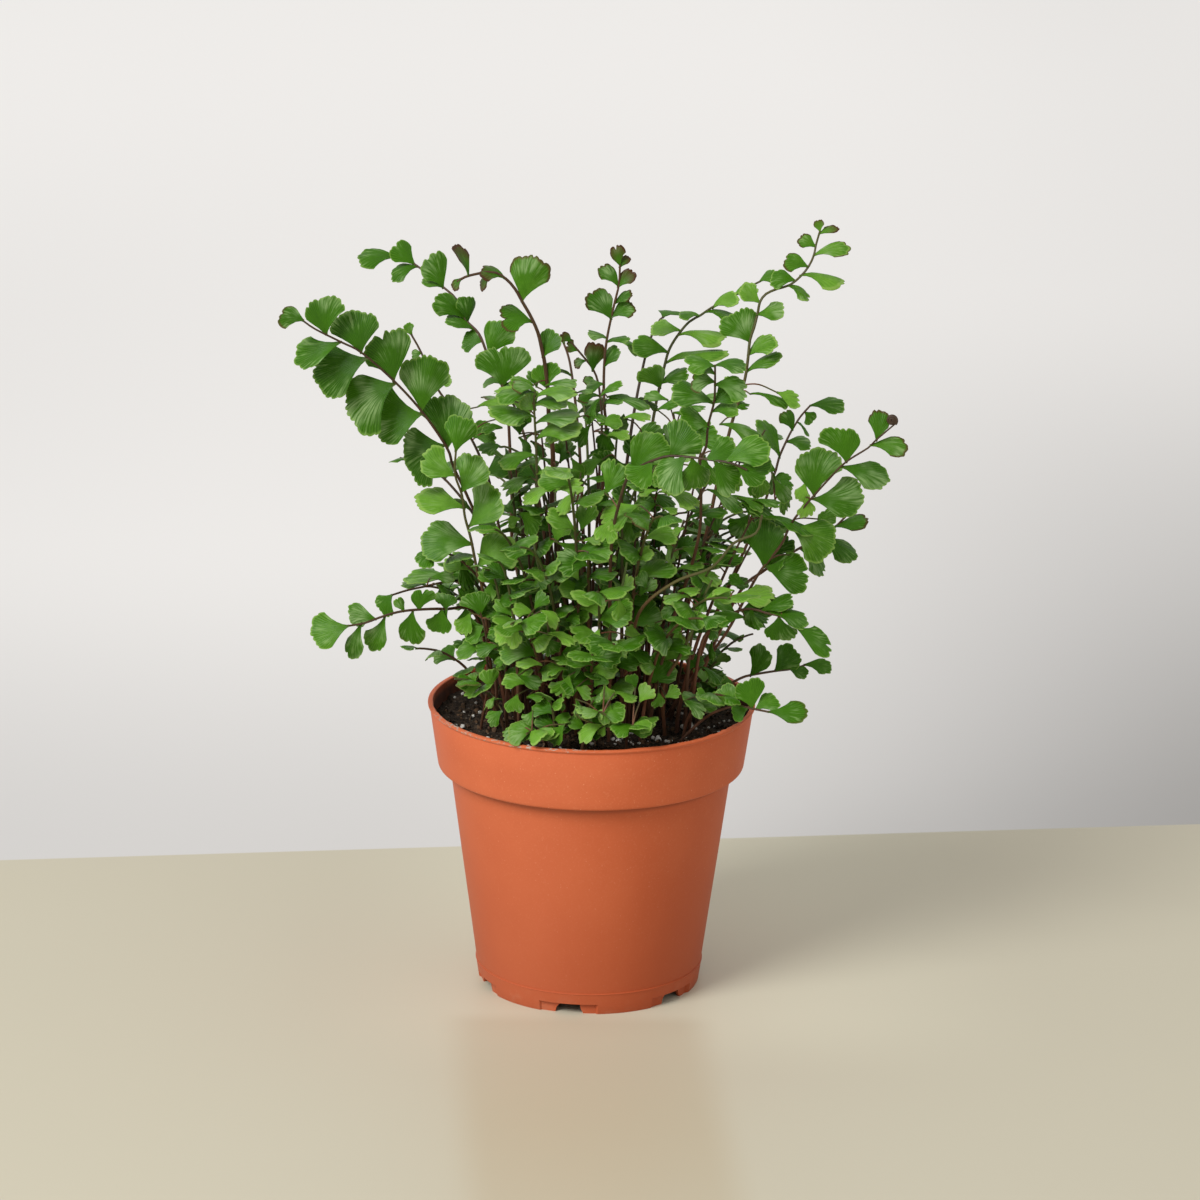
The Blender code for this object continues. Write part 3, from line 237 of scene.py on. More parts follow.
def leafFinish(wire, place):
    # leaflet: deep to bright green by its tone, which is partly its own green and partly painted light and shade,
    # veins that fan out and fork with painted shade in the grooves between them, painted sheen in streaks along
    # the veins and in soft patches, a thin pale margin that is partly its own colour and partly a painted edge
    # highlight, a greyer underside, and brown where it is young or scorched; spot holds the place across from -1
    # to 1, the share from root to edge and 1 on the underside, tone how bright and brown it is and its number of
    # veins
    across, reach, under = wire.stored("spot").parts()
    bright, brown, veinCount = wire.stored("tone").parts()
    wobble = (place.noise(420.0, 2.0) - 0.5) * 1.1
    fan = across * veinCount * 3.1416
    coarse = (fan + wobble).sine()
    forked = (fan * 2.0 + wobble * 1.6 + 1.2).sine()
    outer = reach.ramp(0.36, 0.56)
    veins = (coarse * (1 - outer) + forked * outer) * 0.5 + 0.5
    fade = reach.ramp(0.05, 0.22)
    veinMask = veins ** 3.0 * fade
    cloud = place.noise(130.0, 3.0)
    fleck = place.noise(900.0, 3.0, 0.6)
    shift = bright + (cloud - 0.5) * 0.42 + (fleck - 0.5) * 0.16
    spread = wire.make("ShaderNodeCombineXYZ", None, {0: fan * 0.34 + wobble * 0.3, 1: reach * 2.2,
                                                      2: bright * 31.0})
    fibre = spread.noise(1.0, 2.0, 0.6)
    # painted sheen: pale streaks along the veins on the outer part of the leaflet, where highlights catch the vein
    # ridges
    paintedSheenStreaks = fibre.ramp(0.47, 0.68) * reach.ramp(0.34, 0.85) * place.noise(150.0, 2.0).ramp(0.40, 0.60)
    # painted sheen: soft pale patches on the outer part of the leaflet
    paintedSheenPatches = place.noise(78.0, 2.0).ramp(0.52, 0.66) * reach.ramp(0.2, 0.6) * fibre.ramp(0.25, 0.68)
    # a pale margin that is partly the leaflet's own colour and partly a painted edge highlight, stronger on
    # brighter leaflets
    rim = (reach + bright.ramp(0.45, 0.85) * 0.07).ramp(0.945, 1.0)
    singed = (reach + (cloud - 0.5) * 0.16).ramp(0.90, 0.975) * brown.ramp(0.02, 0.20)
    scorch = (brown * (0.35 + reach * 0.9) + (cloud - 0.5) * 0.9 * brown).ramp(0.40, 0.85)
    colour = shift.ramp(0.0, 0.55).mix((0.018, 0.076, 0.001), (0.041, 0.146, 0.002)).covered(
        (shift.ramp(0.45, 1.0), (0.200, 0.425, 0.045)), (veinMask * 0.16, (0.150, 0.330, 0.030)),
        # painted shade in the grooves between the veins, then the painted sheen streaks
        ((1 - veins) ** 4.0 * fade * 0.22, (0.010, 0.042, 0.001)), (paintedSheenStreaks * 0.46, (0.280, 0.440, 0.150)),
        (paintedSheenPatches * 0.66, (0.270, 0.410, 0.165)), (rim * (0.25 + bright * 0.50), (0.270, 0.430, 0.090)),
        (reach.ramp(0.16, 0.02) * 0.65, (0.060, 0.055, 0.018)), (under * 0.55, (0.100, 0.190, 0.034)),
        ((singed + scorch) * 0.85, (0.062, 0.026, 0.008)))
    rough = 0.27 + fleck * 0.12 + veinMask * 0.06 + under * 0.20 + cloud * 0.08
    relief = veins * fade * 0.34 + fibre * reach.ramp(0.3, 0.7) * 0.9 + fleck * 0.25 + cloud * 2.4
    return {"Base Color": colour, "Roughness": rough, "Normal": relief.bump(0.13 * mm, 0.8),
            "Specular IOR Level": 0.15}


# the eye: across and down in view units, and a depth behind the pot's axis

eye = dict(
    place=np.array((2.4, -1444.4, 553.1)) * mm, pitch=math.radians(16.3), roll=math.radians(0.65), focal=4600.0,
    centre=600.0, sensor=36.0, clip=(0.05, 50.0)
)
eyeForward = np.array((0.0, math.cos(eye["pitch"]), -math.sin(eye["pitch"])))
eyeUpward = np.array((0.0, math.sin(eye["pitch"]), math.cos(eye["pitch"])))
eyeRight = np.array((1.0, 0.0, 0.0))
rollCos, rollSin = math.cos(eye["roll"]), math.sin(eye["roll"])
overhead = np.array((0.0, 0.0, 1.0))


def viewRay(across, down):
    # direction of a point of the view, one unit long along the eye's axis
    right, up = across - eye["centre"], eye["centre"] - down
    levelRight, levelUp = right * rollCos - up * rollSin, right * rollSin + up * rollCos
    return eyeForward + (eyeRight * levelRight + eyeUpward * levelUp) / eye["focal"]


def seenAt(across, down, depth):
    # the point at this depth, in metres, that is seen at (across, down)
    ray = viewRay(across, down)
    return eye["place"] + ray * ((depth - eye["place"][1]) / ray[1])


def seenRoute(knots):
    # the points seen at rows of across, down and depth in mm
    return [seenAt(across, down, depth * mm) for across, down, depth in knots]


def unitSize(point):
    # metres that one view unit covers at a point
    return float((point - eye["place"]) @ eyeForward) / eye["focal"]


def unit(vector):
    return vector / np.linalg.norm(vector)


def linked(name, data):
    item = bpy.data.objects.new(name, data)
    bpy.context.scene.collection.objects.link(item)
    return item


def standBy(item, *axes):
    # turns and moves an object: its right, upward and backward axes, then its place
    placed = Matrix.Identity(4)
    for column, axis in enumerate(axes):
        for row in range(3):
            placed[row][column] = axis[row]
    item.matrix_world = placed


def makeCamera():
    data = bpy.data.cameras.new("portraitLens")
    data.sensor_width = eye["sensor"]
    data.lens = eye["focal"] / (2 * eye["centre"]) * eye["sensor"]
    data.clip_start, data.clip_end = eye["clip"]
    camera = linked("portraitCamera", data)
    standBy(camera, eyeRight * rollCos + eyeUpward * rollSin, eyeUpward * rollCos - eyeRight * rollSin,
            -eyeForward, eye["place"])
    bpy.context.scene.camera = camera


makeCamera()
print("camera placed")


# stage: a pale table, the paler ground behind its edge, lit by a painted glow, and soft light from the front left

stage = dict(
    half=6.0,
    edge=(0.1334, 0.1251),                # the table's edge: its y at x = 0, and its slope
    # a painted warm reflection of the pot, painted light round the pot, and the table's own colour
    tablePotReflection=(0.490, 0.436, 0.318), tableLitNearPot=(0.605, 0.580, 0.455), tableSide=(0.530, 0.496, 0.388),
    # the ground's own dark colour, then the colour of the painted light it glows with
    ground=(0.220, 0.214, 0.208), glow=(1.0, 0.982, 0.962)
)
lamps = [
    dict(name="keyPanel", place=(-1.15, -1.25, 1.55), size=1.0, power=38.0, colour=(1.0, 0.992, 0.972)),
    dict(name="fillPanel", place=(1.6, -1.5, 0.9), size=1.6, power=1.6, colour=(0.97, 0.98, 1.0)),
]
lampAim = np.array((0.0, 0.0, 0.12))
sky = {"colour": (1.0, 0.975, 0.940), "strength": 0.660}


def tableFinish(wire, place):
    # pale table, lighter round and behind the pot as painted light over its shadow, with a painted warm reflection
    # of the pot in front of it that fades towards the foot and the viewer; the ground behind its straight edge
    # glows as painted light, less low down and towards the sides as painted shade
    x, y, _ = place.parts()
    edgeY, slope = stage["edge"]
    behind = (y - edgeY - x * slope).ramp(-0.0006, 0.0006)
    cloud = place.noise(5.0, 2.0)
    # painted light: the table is lighter round and behind the pot, over its shadow
    paintedLightNearPot = (x - 0.03).size().ramp(0.13, 0.03) * y.ramp(-0.095, -0.03) + (cloud - 0.5) * 0.12
    # painted reflection: a warm band of the pot's colour on the table in front of it, fading towards the foot and
    # the viewer
    potReflection = (x + y * 0.066 + 0.0062).size().ramp(0.048, 0.032) * y.ramp(-0.034, -0.046)
    potReflection = potReflection * (1 - y.ramp(-0.135, -0.045) * 0.42 - y.ramp(-0.13, -0.24) * 0.25)
    colour = paintedLightNearPot.mix(stage["tableSide"], stage["tableLitNearPot"]).covered(
        (potReflection, stage["tablePotReflection"]), (behind, stage["ground"]))
    # the ground glows as painted light, brighter far off, with painted shade low down and towards the sides
    low = y.ramp(0.55, 0.08) * (1 - x.ramp(-0.1, 0.15) * 0.5)
    glow = 0.60 + y.ramp(0.7, 1.9) * 0.055 - low * 0.20 - x.ramp(-0.05, 0.30) * y.ramp(1.1, 0.08) * 0.38
    glow = glow - x.ramp(0.10, 0.42) * 0.05 - x.ramp(-0.12, -0.36) * y.ramp(1.6, 0.7) * 0.03
    tint = wire.make("ShaderNodeVectorMath", {"operation": "SCALE"}, {0: stage["glow"], "Scale": glow * behind})
    return {"Base Color": colour, "Roughness": behind * 0.35 + 0.5, "Emission Color": tint,
            "Emission Strength": 1.0}


def makeStage():
    half = stage["half"]
    corners = [(-half, -half, 0.0), (half, -half, 0.0), (half, half, 0.0), (-half, half, 0.0)]
    mesh = bpy.data.meshes.new("tableTop")
    mesh.from_pydata(corners, [], [(0, 1, 2, 3)])
    mesh.materials.append(makeMaterial("paleTable", tableFinish))
    table = linked("tableTop", mesh)
    for lamp in lamps:
        light = bpy.data.lights.new(lamp["name"], "AREA")
        light.shape, light.size, light.energy, light.color = "DISK", lamp["size"], lamp["power"], lamp["colour"]
        panel = linked(lamp["name"], light)
        panel.visible_camera = False
        back = unit(np.array(lamp["place"]) - lampAim)
        right = unit(np.cross(overhead, back))
        standBy(panel, right, np.cross(back, right), back, lamp["place"])
    world = bpy.data.worlds.new("studio")
    bpy.context.scene.world = world
    world.use_nodes = True
    background = world.node_tree.nodes["Background"]
    background.inputs["Color"].default_value = (*sky["colour"], 1.0)
    background.inputs["Strength"].default_value = sky["strength"]
    bpy.context.scene.view_settings.view_transform = "Standard"


makeStage()
print("stage and light ready")


# meshes: a part is its points, its faces, two vectors for each point, and a material number

plastic = makeMaterial("terracottaPlastic", plasticFinish)
peat = makeMaterial("pottingSoil", soilFinish)
crumbBrown = makeMaterial("barkCrumb", crumbFinish)
chalk = makeMaterial("perliteGrain", perliteFinish)
straw = makeMaterial("deadStem", twigFinish)
stemBrown = makeMaterial("mahoganyStem", stemFinish)
leafGreen = makeMaterial("fernLeaf", leafFinish)


def gridFaces(rows, columns, around=False, along=False):
    # quads of a grid of points stored row by row, closed round its columns or its rows where asked
    row, column = np.meshgrid(np.arange(rows if along else rows - 1),
                              np.arange(columns if around else columns - 1), indexing="ij")
    below, beside = (row + 1) % rows, (column + 1) % columns
    corners = np.stack([row * columns + column, row * columns + beside, below * columns + beside,
                        below * columns + column], axis=-1)
    return corners.reshape(-1, 4)


def makePiece(name, parts, materials, nodes=(), weld=0.0, sharp=50.0):
    # joins parts into one object at the origin, with its normals turned outwards
    faces, numbers, first = [], [], 0
    rows = {"point": [], "spot": [], "tone": []}
    for part in parts:
        count = len(part["points"])
        faces += [[corner + first for corner in face] for face in part["faces"]]
        numbers += [part.get("material", 0)] * len(part["faces"])
        rows["point"].append(part["points"])
        for label in ("spot", "tone"):
            rows[label].append(np.broadcast_to(part.get(label, (0.0, 0.0, 0.0)), (count, 3)))
        first += count
    mesh = bpy.data.meshes.new(name)
    mesh.from_pydata(np.concatenate(rows["point"]).tolist(), [], faces)
    for label in ("spot", "tone"):
        store = mesh.attributes.new(label, "FLOAT_VECTOR", "POINT")
        store.data.foreach_set("vector", np.concatenate(rows[label]).astype(np.float32).ravel())
    mesh.polygons.foreach_set("material_index", np.array(numbers, dtype=np.int32))
    for material in materials:
        mesh.materials.append(material)
    bm = bmesh.new()
    bm.from_mesh(mesh)
    if weld:
        bmesh.ops.remove_doubles(bm, verts=bm.verts, dist=weld)
        bmesh.ops.dissolve_degenerate(bm, edges=bm.edges, dist=weld)
    bmesh.ops.recalc_face_normals(bm, faces=bm.faces)
    bm.to_mesh(mesh)
    bm.free()
    mesh.shade_smooth()
    mesh.set_sharp_from_angle(angle=math.radians(sharp))
    piece = linked(name, mesh)
    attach(piece, "root")
    if nodes:
        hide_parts(*nodes)
    return piece


def surface(points, faces, **extra):
    # a part made from whole arrays
    return dict(points=points.reshape(-1, 3), faces=faces.tolist(), **extra)


lattice = 97


def lumps(x, y, cell, seed):
    # smooth noise from -1 to 1: random heights on a square lattice, eased between its corners
    table = np.random.default_rng(seed).uniform(-1.0, 1.0, (lattice, lattice))
    u, v = x / cell, y / cell
    i, j = np.floor(u).astype(int), np.floor(v).astype(int)
    p, q = u - i, v - j
    p, q = p * p * (3 - 2 * p), q * q * (3 - 2 * q)
    left, right, near, far = i % lattice, (i + 1) % lattice, j % lattice, (j + 1) % lattice
    before = table[left, near] * (1 - p) + table[right, near] * p
    behind = table[left, far] * (1 - p) + table[right, far] * p
    return before * (1 - q) + behind * q


# pot

pot = dict(
    outer=[(53.62, 96.25), (53.82, 96.13), (53.88, 95.92), (53.84, 95.6), (53.66, 95.36), (53.42, 95.22),
           (53.28, 95.0), (53.18, 94.86), (53.22, 94.7), (51.86, 85.0), (50.86, 78.0), (50.52, 75.75),
           (50.36, 75.35), (50.00, 75.02), (49.50, 74.86), (46.95, 74.5), (46.62, 74.32), (46.46, 73.95),
           (46.34, 73.0), (45.30, 65.1), (42.55, 44.5), (40.00, 25.8), (37.62, 8.0), (37.55, 7.5),
           (37.86, 7.36), (37.86, 7.12), (37.70, 7.0), (37.22, 3.56), (37.20, 3.44), (36.72, 0.4),
           (36.50, 0.0)],
    inner=[(34.70, 0.0), (34.50, 0.25), (34.50, 3.4), (34.50, 4.6), (35.91, 4.6), (39.30, 30.0),
           (44.00, 65.1), (45.00, 73.2), (45.20, 75.3), (45.70, 75.95), (48.50, 76.3), (49.05, 76.7),
           (50.40, 86.0), (52.05, 95.0), (52.22, 96.0), (52.46, 96.25)],
    steps=144, notches=6,
    firstNotch=-100.4,                    # degrees
    recess=(18.7, 3.5, 0.7),              # width, height and depth in mm
    slot=(8.4, 3.0), footRadius=36.5,
    slope=0.5,                            # degrees over which a notch's side runs in
    ragged=0.62,                          # mm of moulding flash on the inner edge of the lip
    lipFrom=95.5,
    flash=((1.6, 5, 1.0), (0.7, 6, 0.5)),  # cell in mm, seed and share of each size of flash
    flashRadius=53.0, drainRadius=4.0, drainCircle=24.0, floor=(3.45, 4.55), floorRadius=35.2, sideSteps=7,
    arcSteps=8, weld=0.004 * mm, sharp=32.0
)


def potShell():
    # turned profile r(s), z(s) on angles t; within a recess r is held to the recess floor under its height, and
    # within a slot z is lifted to the slot's top, each fading over the notch's sloping sides
    profile = np.array(pot["outer"] + pot["inner"])
    isInner = np.arange(len(profile)) >= len(pot["outer"])
    middles = pot["firstNotch"] + np.arange(pot["notches"]) * 360.0 / pot["notches"]
    recessHalf, slotHalf = (math.degrees(width / 2 / pot["footRadius"])
                            for width in (pot["recess"][0], pot["slot"][0]))
    edges = [middle + side * half + step for middle in middles for side in (-1, 1)
             for half in (recessHalf, slotHalf) for step in (-pot["slope"], 0.0)]
    turns = np.unique(np.round(np.concatenate([np.linspace(0, 360, pot["steps"], endpoint=False),
                                               np.array(edges) % 360.0]), 4))
    away = np.abs((turns[:, None] - middles[None] + 180.0) % 360.0 - 180.0).min(axis=1)
    recess, slot = (np.clip((half - away) / pot["slope"] + 0.5, 0, 1)[:, None] for half in (recessHalf, slotHalf))
    radius = np.broadcast_to(profile[None, :, 0], (len(turns), len(profile))).copy()
    height = np.broadcast_to(profile[None, :, 1], radius.shape).copy()
    low = (height < pot["recess"][1]) & ~isInner[None]
    held = np.minimum(radius, pot["footRadius"] - pot["recess"][2])
    radius = np.where(low, radius + (held - radius) * recess, radius)
    lifted = np.maximum(height, pot["slot"][1])
    height = height + (lifted - height) * slot
    angle = np.radians(turns)[:, None]
    lip = isInner[None] & (profile[None, :, 1] > pot["lipFrom"])
    x, y = np.cos(angle) * pot["flashRadius"], np.sin(angle) * pot["flashRadius"]
    flash = sum(share * lumps(x, y, cell, seed) for cell, seed, share in pot["flash"])
    front = np.clip(-np.sin(angle) * 1.2 + 0.2, 0.15, 1.0)
    radius = radius - lip * np.clip(flash, 0.0, 1.5) * pot["ragged"] * front
    points = np.stack([radius * np.cos(angle), radius * np.sin(angle), height], axis=-1).reshape(-1, 3) * mm
    inside = np.broadcast_to(isInner[None], radius.shape).reshape(-1, 1) * (1.0, 0.0, 0.0)
    return surface(points, gridFaces(len(turns), len(profile), around=True, along=True), spot=inside)


def potFloor():
    # one sector for each drain hole, ruled from the hole's circle to the sector's edge: in along one side,
    # round the outer arc and back; only the arc gets a side wall, as the sectors meet on their straight sides
    half = math.pi / pot["notches"]
    out = np.linspace(0.0, pot["floorRadius"], pot["sideSteps"] + 1)
    arc = np.linspace(half, -half, pot["arcSteps"] + 1)[1:-1]
    side = np.stack([out * math.cos(half), out * math.sin(half)], axis=-1)
    edge = np.concatenate([side, np.stack([np.cos(arc), np.sin(arc)], axis=-1) * pot["floorRadius"],
                           (side * (1, -1))[:0:-1]])
    middle = np.array((pot["drainCircle"], 0.0))
    away = edge - middle
    rim = middle + away / np.linalg.norm(away, axis=1, keepdims=True) * pot["drainRadius"]
    low, high = pot["floor"]
    count = len(edge)
    rings = [np.column_stack([ring, np.full(count, level)])
             for ring, level in ((edge, low), (rim, low), (rim, high), (edge, high))]
    sector = np.concatenate(rings)
    onArc = pot["sideSteps"] + np.arange(pot["arcSteps"])
    wall = np.stack([onArc, onArc + 1, onArc + 1 + 3 * count, onArc + 3 * count], axis=-1)
    faces = np.concatenate([gridFaces(len(rings), count, around=True), wall])
    points, quads = [], []
    for number in range(pot["notches"]):
        turn = math.radians(pot["firstNotch"] + number * 360.0 / pot["notches"])
        spin = np.array(((math.cos(turn), math.sin(turn), 0), (-math.sin(turn), math.cos(turn), 0), (0, 0, 1)))
        points.append(sector @ spin)
        quads.append(faces + number * len(sector))
    return surface(np.concatenate(points) * mm, np.concatenate(quads), spot=(1.0, 0.0, 0.0))


def makePot():
    # the plastic reads what is inside from an attribute of its own, copied from spot after the welding
    for name, part in (("potShell", potShell()), ("potFloor", potFloor())):
        piece = makePiece(name, [part], [plastic], ["pot"], pot["weld"], pot["sharp"])
        spots = np.empty(len(piece.data.vertices) * 3, dtype=np.float32)
        piece.data.attributes["spot"].data.foreach_get("vector", spots)
        store = piece.data.attributes.new("inside", "FLOAT", "POINT")
        store.data.foreach_set("value", spots.reshape(-1, 3)[:, 0].copy())


makePot()
print("pot made")


# soil, with perlite, crumbs and dead stems on it

soil = dict(
    centreZ=91.5, edgeZ=87.6, edgeRadius=51.0, wallRadius=51.2,
    bank=(3.4, 0.6),                      # mm heaped against the wall, and the share of the radius where it starts
    rough=((7.0, 1, 0.7), (2.8, 2, 0.55), (1.3, 3, 0.4)),  # cell in mm, seed and height in mm
    rings=58, steps=220,
    below=[(50.2, 86.2), (48.7, 76.9), (45.2, 76.3), (44.7, 75.2), (43.7, 65.1), (35.6, 4.9), (0.0, 4.9)],
    weld=0.002 * mm
)
litterRadius = 49.0
litter = [
    dict(name="perliteGrains", count=95, size=(0.55, 1.25), level=2, material=chalk, seed=11, sink=0.15,
         flat=0.85),
    dict(name="frontPerlite", count=46, size=(0.6, 1.45), level=2, material=chalk, seed=14, sink=0.1, flat=0.85,
         arc=(-112.0, -38.0), ring=(0.80, 0.99)),
    dict(name="barkCrumbs", count=1100, size=(0.35, 1.6), level=1, material=crumbBrown, seed=12, sink=0.35,
         flat=0.6),
    dict(name="seenGrains", level=2, material=chalk, seed=15, sink=0.0, flat=0.85, seen=[   # across, down, size
        (443, 686, 0.50), (455, 698, 0.50), (459, 686, 0.55), (476, 704, 0.70), (498, 705, 0.45),
        (455, 679, 0.35), (449, 690, 0.25), (467, 693, 0.30), (613, 740, 0.85), (615, 745, 0.55),
        (622, 739, 0.45), (627, 742, 0.75), (627, 735, 0.40), (631, 743, 0.45), (633, 745, 0.45),
        (639, 744, 0.70), (645, 736, 0.30), (648, 742, 0.35), (653, 739, 0.80), (658, 741, 1.40),
        (666, 742, 0.60), (672, 741, 0.40), (683, 740, 0.80), (686, 738, 0.50), (724, 722, 0.50),
        (719, 724, 0.40), (714, 727, 0.35), (704, 684, 0.45), (735, 716, 0.40)]),
]
grain = {"knocked": (0.72, 1.15), "thinnest": 0.7, "mostlySmall": 1.8, "sharp": 40.0}
twigs = {"count": 44, "length": (5.0, 17.0), "radius": (0.14, 0.36), "seed": 21, "ring": (5, 44), "bow": 0.25,
         "within": 49.5, "fewest": 5, "lift": (0.6, 0.3, 2.5), "points": 9, "sides": 5}
paleChip = {"seen": (687, 728), "size": (2.4, 1.6, 1.3), "turn": 35.0, "knocked": (0.8, 1.12), "seed": 31,
            "lift": 0.5}


def mound(x, y):
    # centre height, less the square of the share of the radius; also that share
    share = np.minimum(np.hypot(x, y) / (soil["edgeRadius"] * mm), 1.0)
    return (soil["centreZ"] + (soil["edgeZ"] - soil["centreZ"]) * share ** 2) * mm, share


def soilTop(x, y):
    # mound, plus a bank that rises with the square of what is past its start, plus clods, crumbs and grit
    level, share = mound(x, y)
    height, start = soil["bank"]
    bank = height * np.clip((share - start) / (1 - start), 0.0, 1.0) ** 2
    rough = sum(lumps(x, y, cell * mm, seed) * amount for cell, seed, amount in soil["rough"])
    return level + (bank + rough) * mm


def onSoil(across, down):
    # the point of the soil seen at (across, down): its depth is stepped along until the ray comes down to the soil
    depth = -30 * mm
    for _ in range(40):
        point = seenAt(across, down, depth)
        depth += (point[2] - soilTop(point[0], point[1])) * 1.5
    return point


def makeSoil():
    # turned: rings of the rough mound, then the profile down the wall and in under the floor
    turns = np.linspace(0, math.tau, soil["steps"], endpoint=False)[:, None]
    rings = np.linspace(0, soil["wallRadius"], soil["rings"]) * mm
    x, y = rings[None] * np.cos(turns), rings[None] * np.sin(turns)
    top = np.stack([x, y, soilTop(x, y)], axis=-1)
    low = np.array(soil["below"]) * mm
    under = np.stack([low[None, :, 0] * np.cos(turns), low[None, :, 0] * np.sin(turns),
                      np.broadcast_to(low[None, :, 1], (len(turns), len(low)))], axis=-1)
    points = np.concatenate([top, under], axis=1)
    makePiece("soilMound", [surface(points, gridFaces(*points.shape[:2], along=True))], [peat],
              ["soil"], soil["weld"], 180.0)


def roundStone(level):
    bm = bmesh.new()
    bmesh.ops.create_icosphere(bm, subdivisions=level, radius=1.0)
    points = np.array([tuple(vert.co) for vert in bm.verts])
    faces = np.array([[vert.index for vert in face.verts] for face in bm.faces])
    bm.free()
    return points, faces


def spins(rng, count):
    # random turns: unit quaternions made into matrices
    w, x, y, z = rng.normal(size=(count, 4)).T
    length = np.sqrt(w * w + x * x + y * y + z * z)
    w, x, y, z = w / length, x / length, y / length, z / length
    return np.stack([1 - 2 * (y * y + z * z), 2 * (x * y - w * z), 2 * (x * z + w * y),
                     2 * (x * y + w * z), 1 - 2 * (x * x + z * z), 2 * (y * z - w * x),
                     2 * (x * z - w * y), 2 * (y * z + w * x), 1 - 2 * (x * x + y * y)], axis=-1).reshape(-1, 3, 3)


def scatter(item):
    # every grain is one stone, knocked out of round, stretched, turned and set on the soil, all at once
    rng = np.random.default_rng(item["seed"])
    stone, faces = roundStone(item["level"])
    seen = np.array(item.get("seen", ()))
    count = item.get("count", len(seen))
    knocked = stone[None] * rng.uniform(*grain["knocked"], (count, len(stone), 1))
    stretched = knocked * rng.uniform(item["flat"] * grain["thinnest"], 1.0, (count, 1, 3))
    turned = stretched @ spins(rng, count)
    if len(seen):
        sizes = seen[:, 2]
        x, y, _ = np.array([onSoil(across, down) for across, down in seen[:, :2]]).T
    else:
        small, large = item["size"]
        sizes = rng.uniform(0, 1, count) ** grain["mostlySmall"] * (large - small) + small
        inner, outer = item.get("ring", (0.0, 1.0))
        radius = np.sqrt(rng.uniform(inner ** 2, outer ** 2, count)) * litterRadius * mm
        angle = np.radians(rng.uniform(*item.get("arc", (0.0, 360.0)), count))
        x, y = radius * np.cos(angle), radius * np.sin(angle)
    z = soilTop(x, y) + sizes * mm * (0.5 - item["sink"])
    points = turned * sizes[:, None, None] * mm + np.stack([x, y, z], axis=-1)[:, None]
    corners = (faces[None] + (np.arange(count) * len(stone))[:, None, None]).reshape(-1, 3)
    makePiece(item["name"], [surface(points, corners)], [item["material"]], sharp=grain["sharp"])


def tube(path, radii, sides=6, **extra):
    # a ring of sides points round each point of the path, square to it; its ends are flat caps
    path = np.asarray(path)
    radii = np.broadcast_to(radii, len(path))
    tangent = np.gradient(path, axis=0)
    tangent /= np.linalg.norm(tangent, axis=1, keepdims=True)
    level = np.linalg.svd(tangent)[2][-1]
    first = np.cross(tangent, level)
    first /= np.linalg.norm(first, axis=1, keepdims=True)
    second = np.cross(tangent, first)
    turn = np.linspace(0, math.tau, sides, endpoint=False)
    ring = first[:, None] * np.cos(turn)[None, :, None] + second[:, None] * np.sin(turn)[None, :, None]
    points = (path[:, None] + ring * radii[:, None, None]).reshape(-1, 3)
    faces = gridFaces(len(path), sides, around=True).tolist()
    last = (len(path) - 1) * sides
    faces += [list(range(sides))[::-1], list(range(last, last + sides))]
    spot = np.zeros((len(path), sides, 3))
    spot[:, :, 1] = np.linspace(0, 1, len(path))[:, None]
    return dict(points=points, faces=faces, spot=spot.reshape(-1, 3), **extra)


def makeTwigs():
    # short bowed tubes lying on the soil, their ends a little raised
    rng = np.random.default_rng(twigs["seed"])
    share = np.linspace(-0.5, 0.5, twigs["points"])
    byRadius, clear, endRise = twigs["lift"]
    parts = []
    for _ in range(twigs["count"]):
        reach, angle, lean = rng.uniform(*twigs["ring"]) * mm, rng.uniform(0, math.tau), rng.uniform(0, math.tau)
        length, radius = rng.uniform(*twigs["length"]) * mm, rng.uniform(*twigs["radius"]) * mm
        bow = rng.uniform(-twigs["bow"], twigs["bow"]) * length * (0.25 - share ** 2) * 4
        x = reach * math.cos(angle) + share * length * math.cos(lean) - bow * math.sin(lean)
        y = reach * math.sin(angle) + share * length * math.sin(lean) + bow * math.cos(lean)
        keep = np.hypot(x, y) < twigs["within"] * mm
        if keep.sum() < twigs["fewest"]:
            continue
        x, y = x[keep], y[keep]
        z = (soilTop(x, y) + radius * byRadius + clear * mm
             + np.abs(share[keep]) * rng.uniform(0, endRise) * mm)
        parts.append(tube(np.stack([x, y, z], axis=-1), radius, twigs["sides"]))
    makePiece("deadStems", parts, [straw])


def makeChip():
    # one larger pale chip: a stone stretched to its three half sizes, turned round and laid on the soil
    stone, faces = roundStone(2)
    rng = np.random.default_rng(paleChip["seed"])
    knocked = stone * rng.uniform(*paleChip["knocked"], (len(stone), 1)) * paleChip["size"]
    turn = math.radians(paleChip["turn"])
    x = knocked[:, 0] * math.cos(turn) - knocked[:, 1] * math.sin(turn)
    y = knocked[:, 0] * math.sin(turn) + knocked[:, 1] * math.cos(turn)
    points = np.stack([x, y, knocked[:, 2] + paleChip["lift"]], axis=-1) * mm + onSoil(*paleChip["seen"])
    makePiece("paleChip", [surface(points, faces)], [chalk], sharp=grain["sharp"])


makeSoil()
for item in litter:
    scatter(item)
makeTwigs()
makeChip()
print("soil and litter made")


# fronds: routes and leaflets drawn from the front, and fronds set by rule

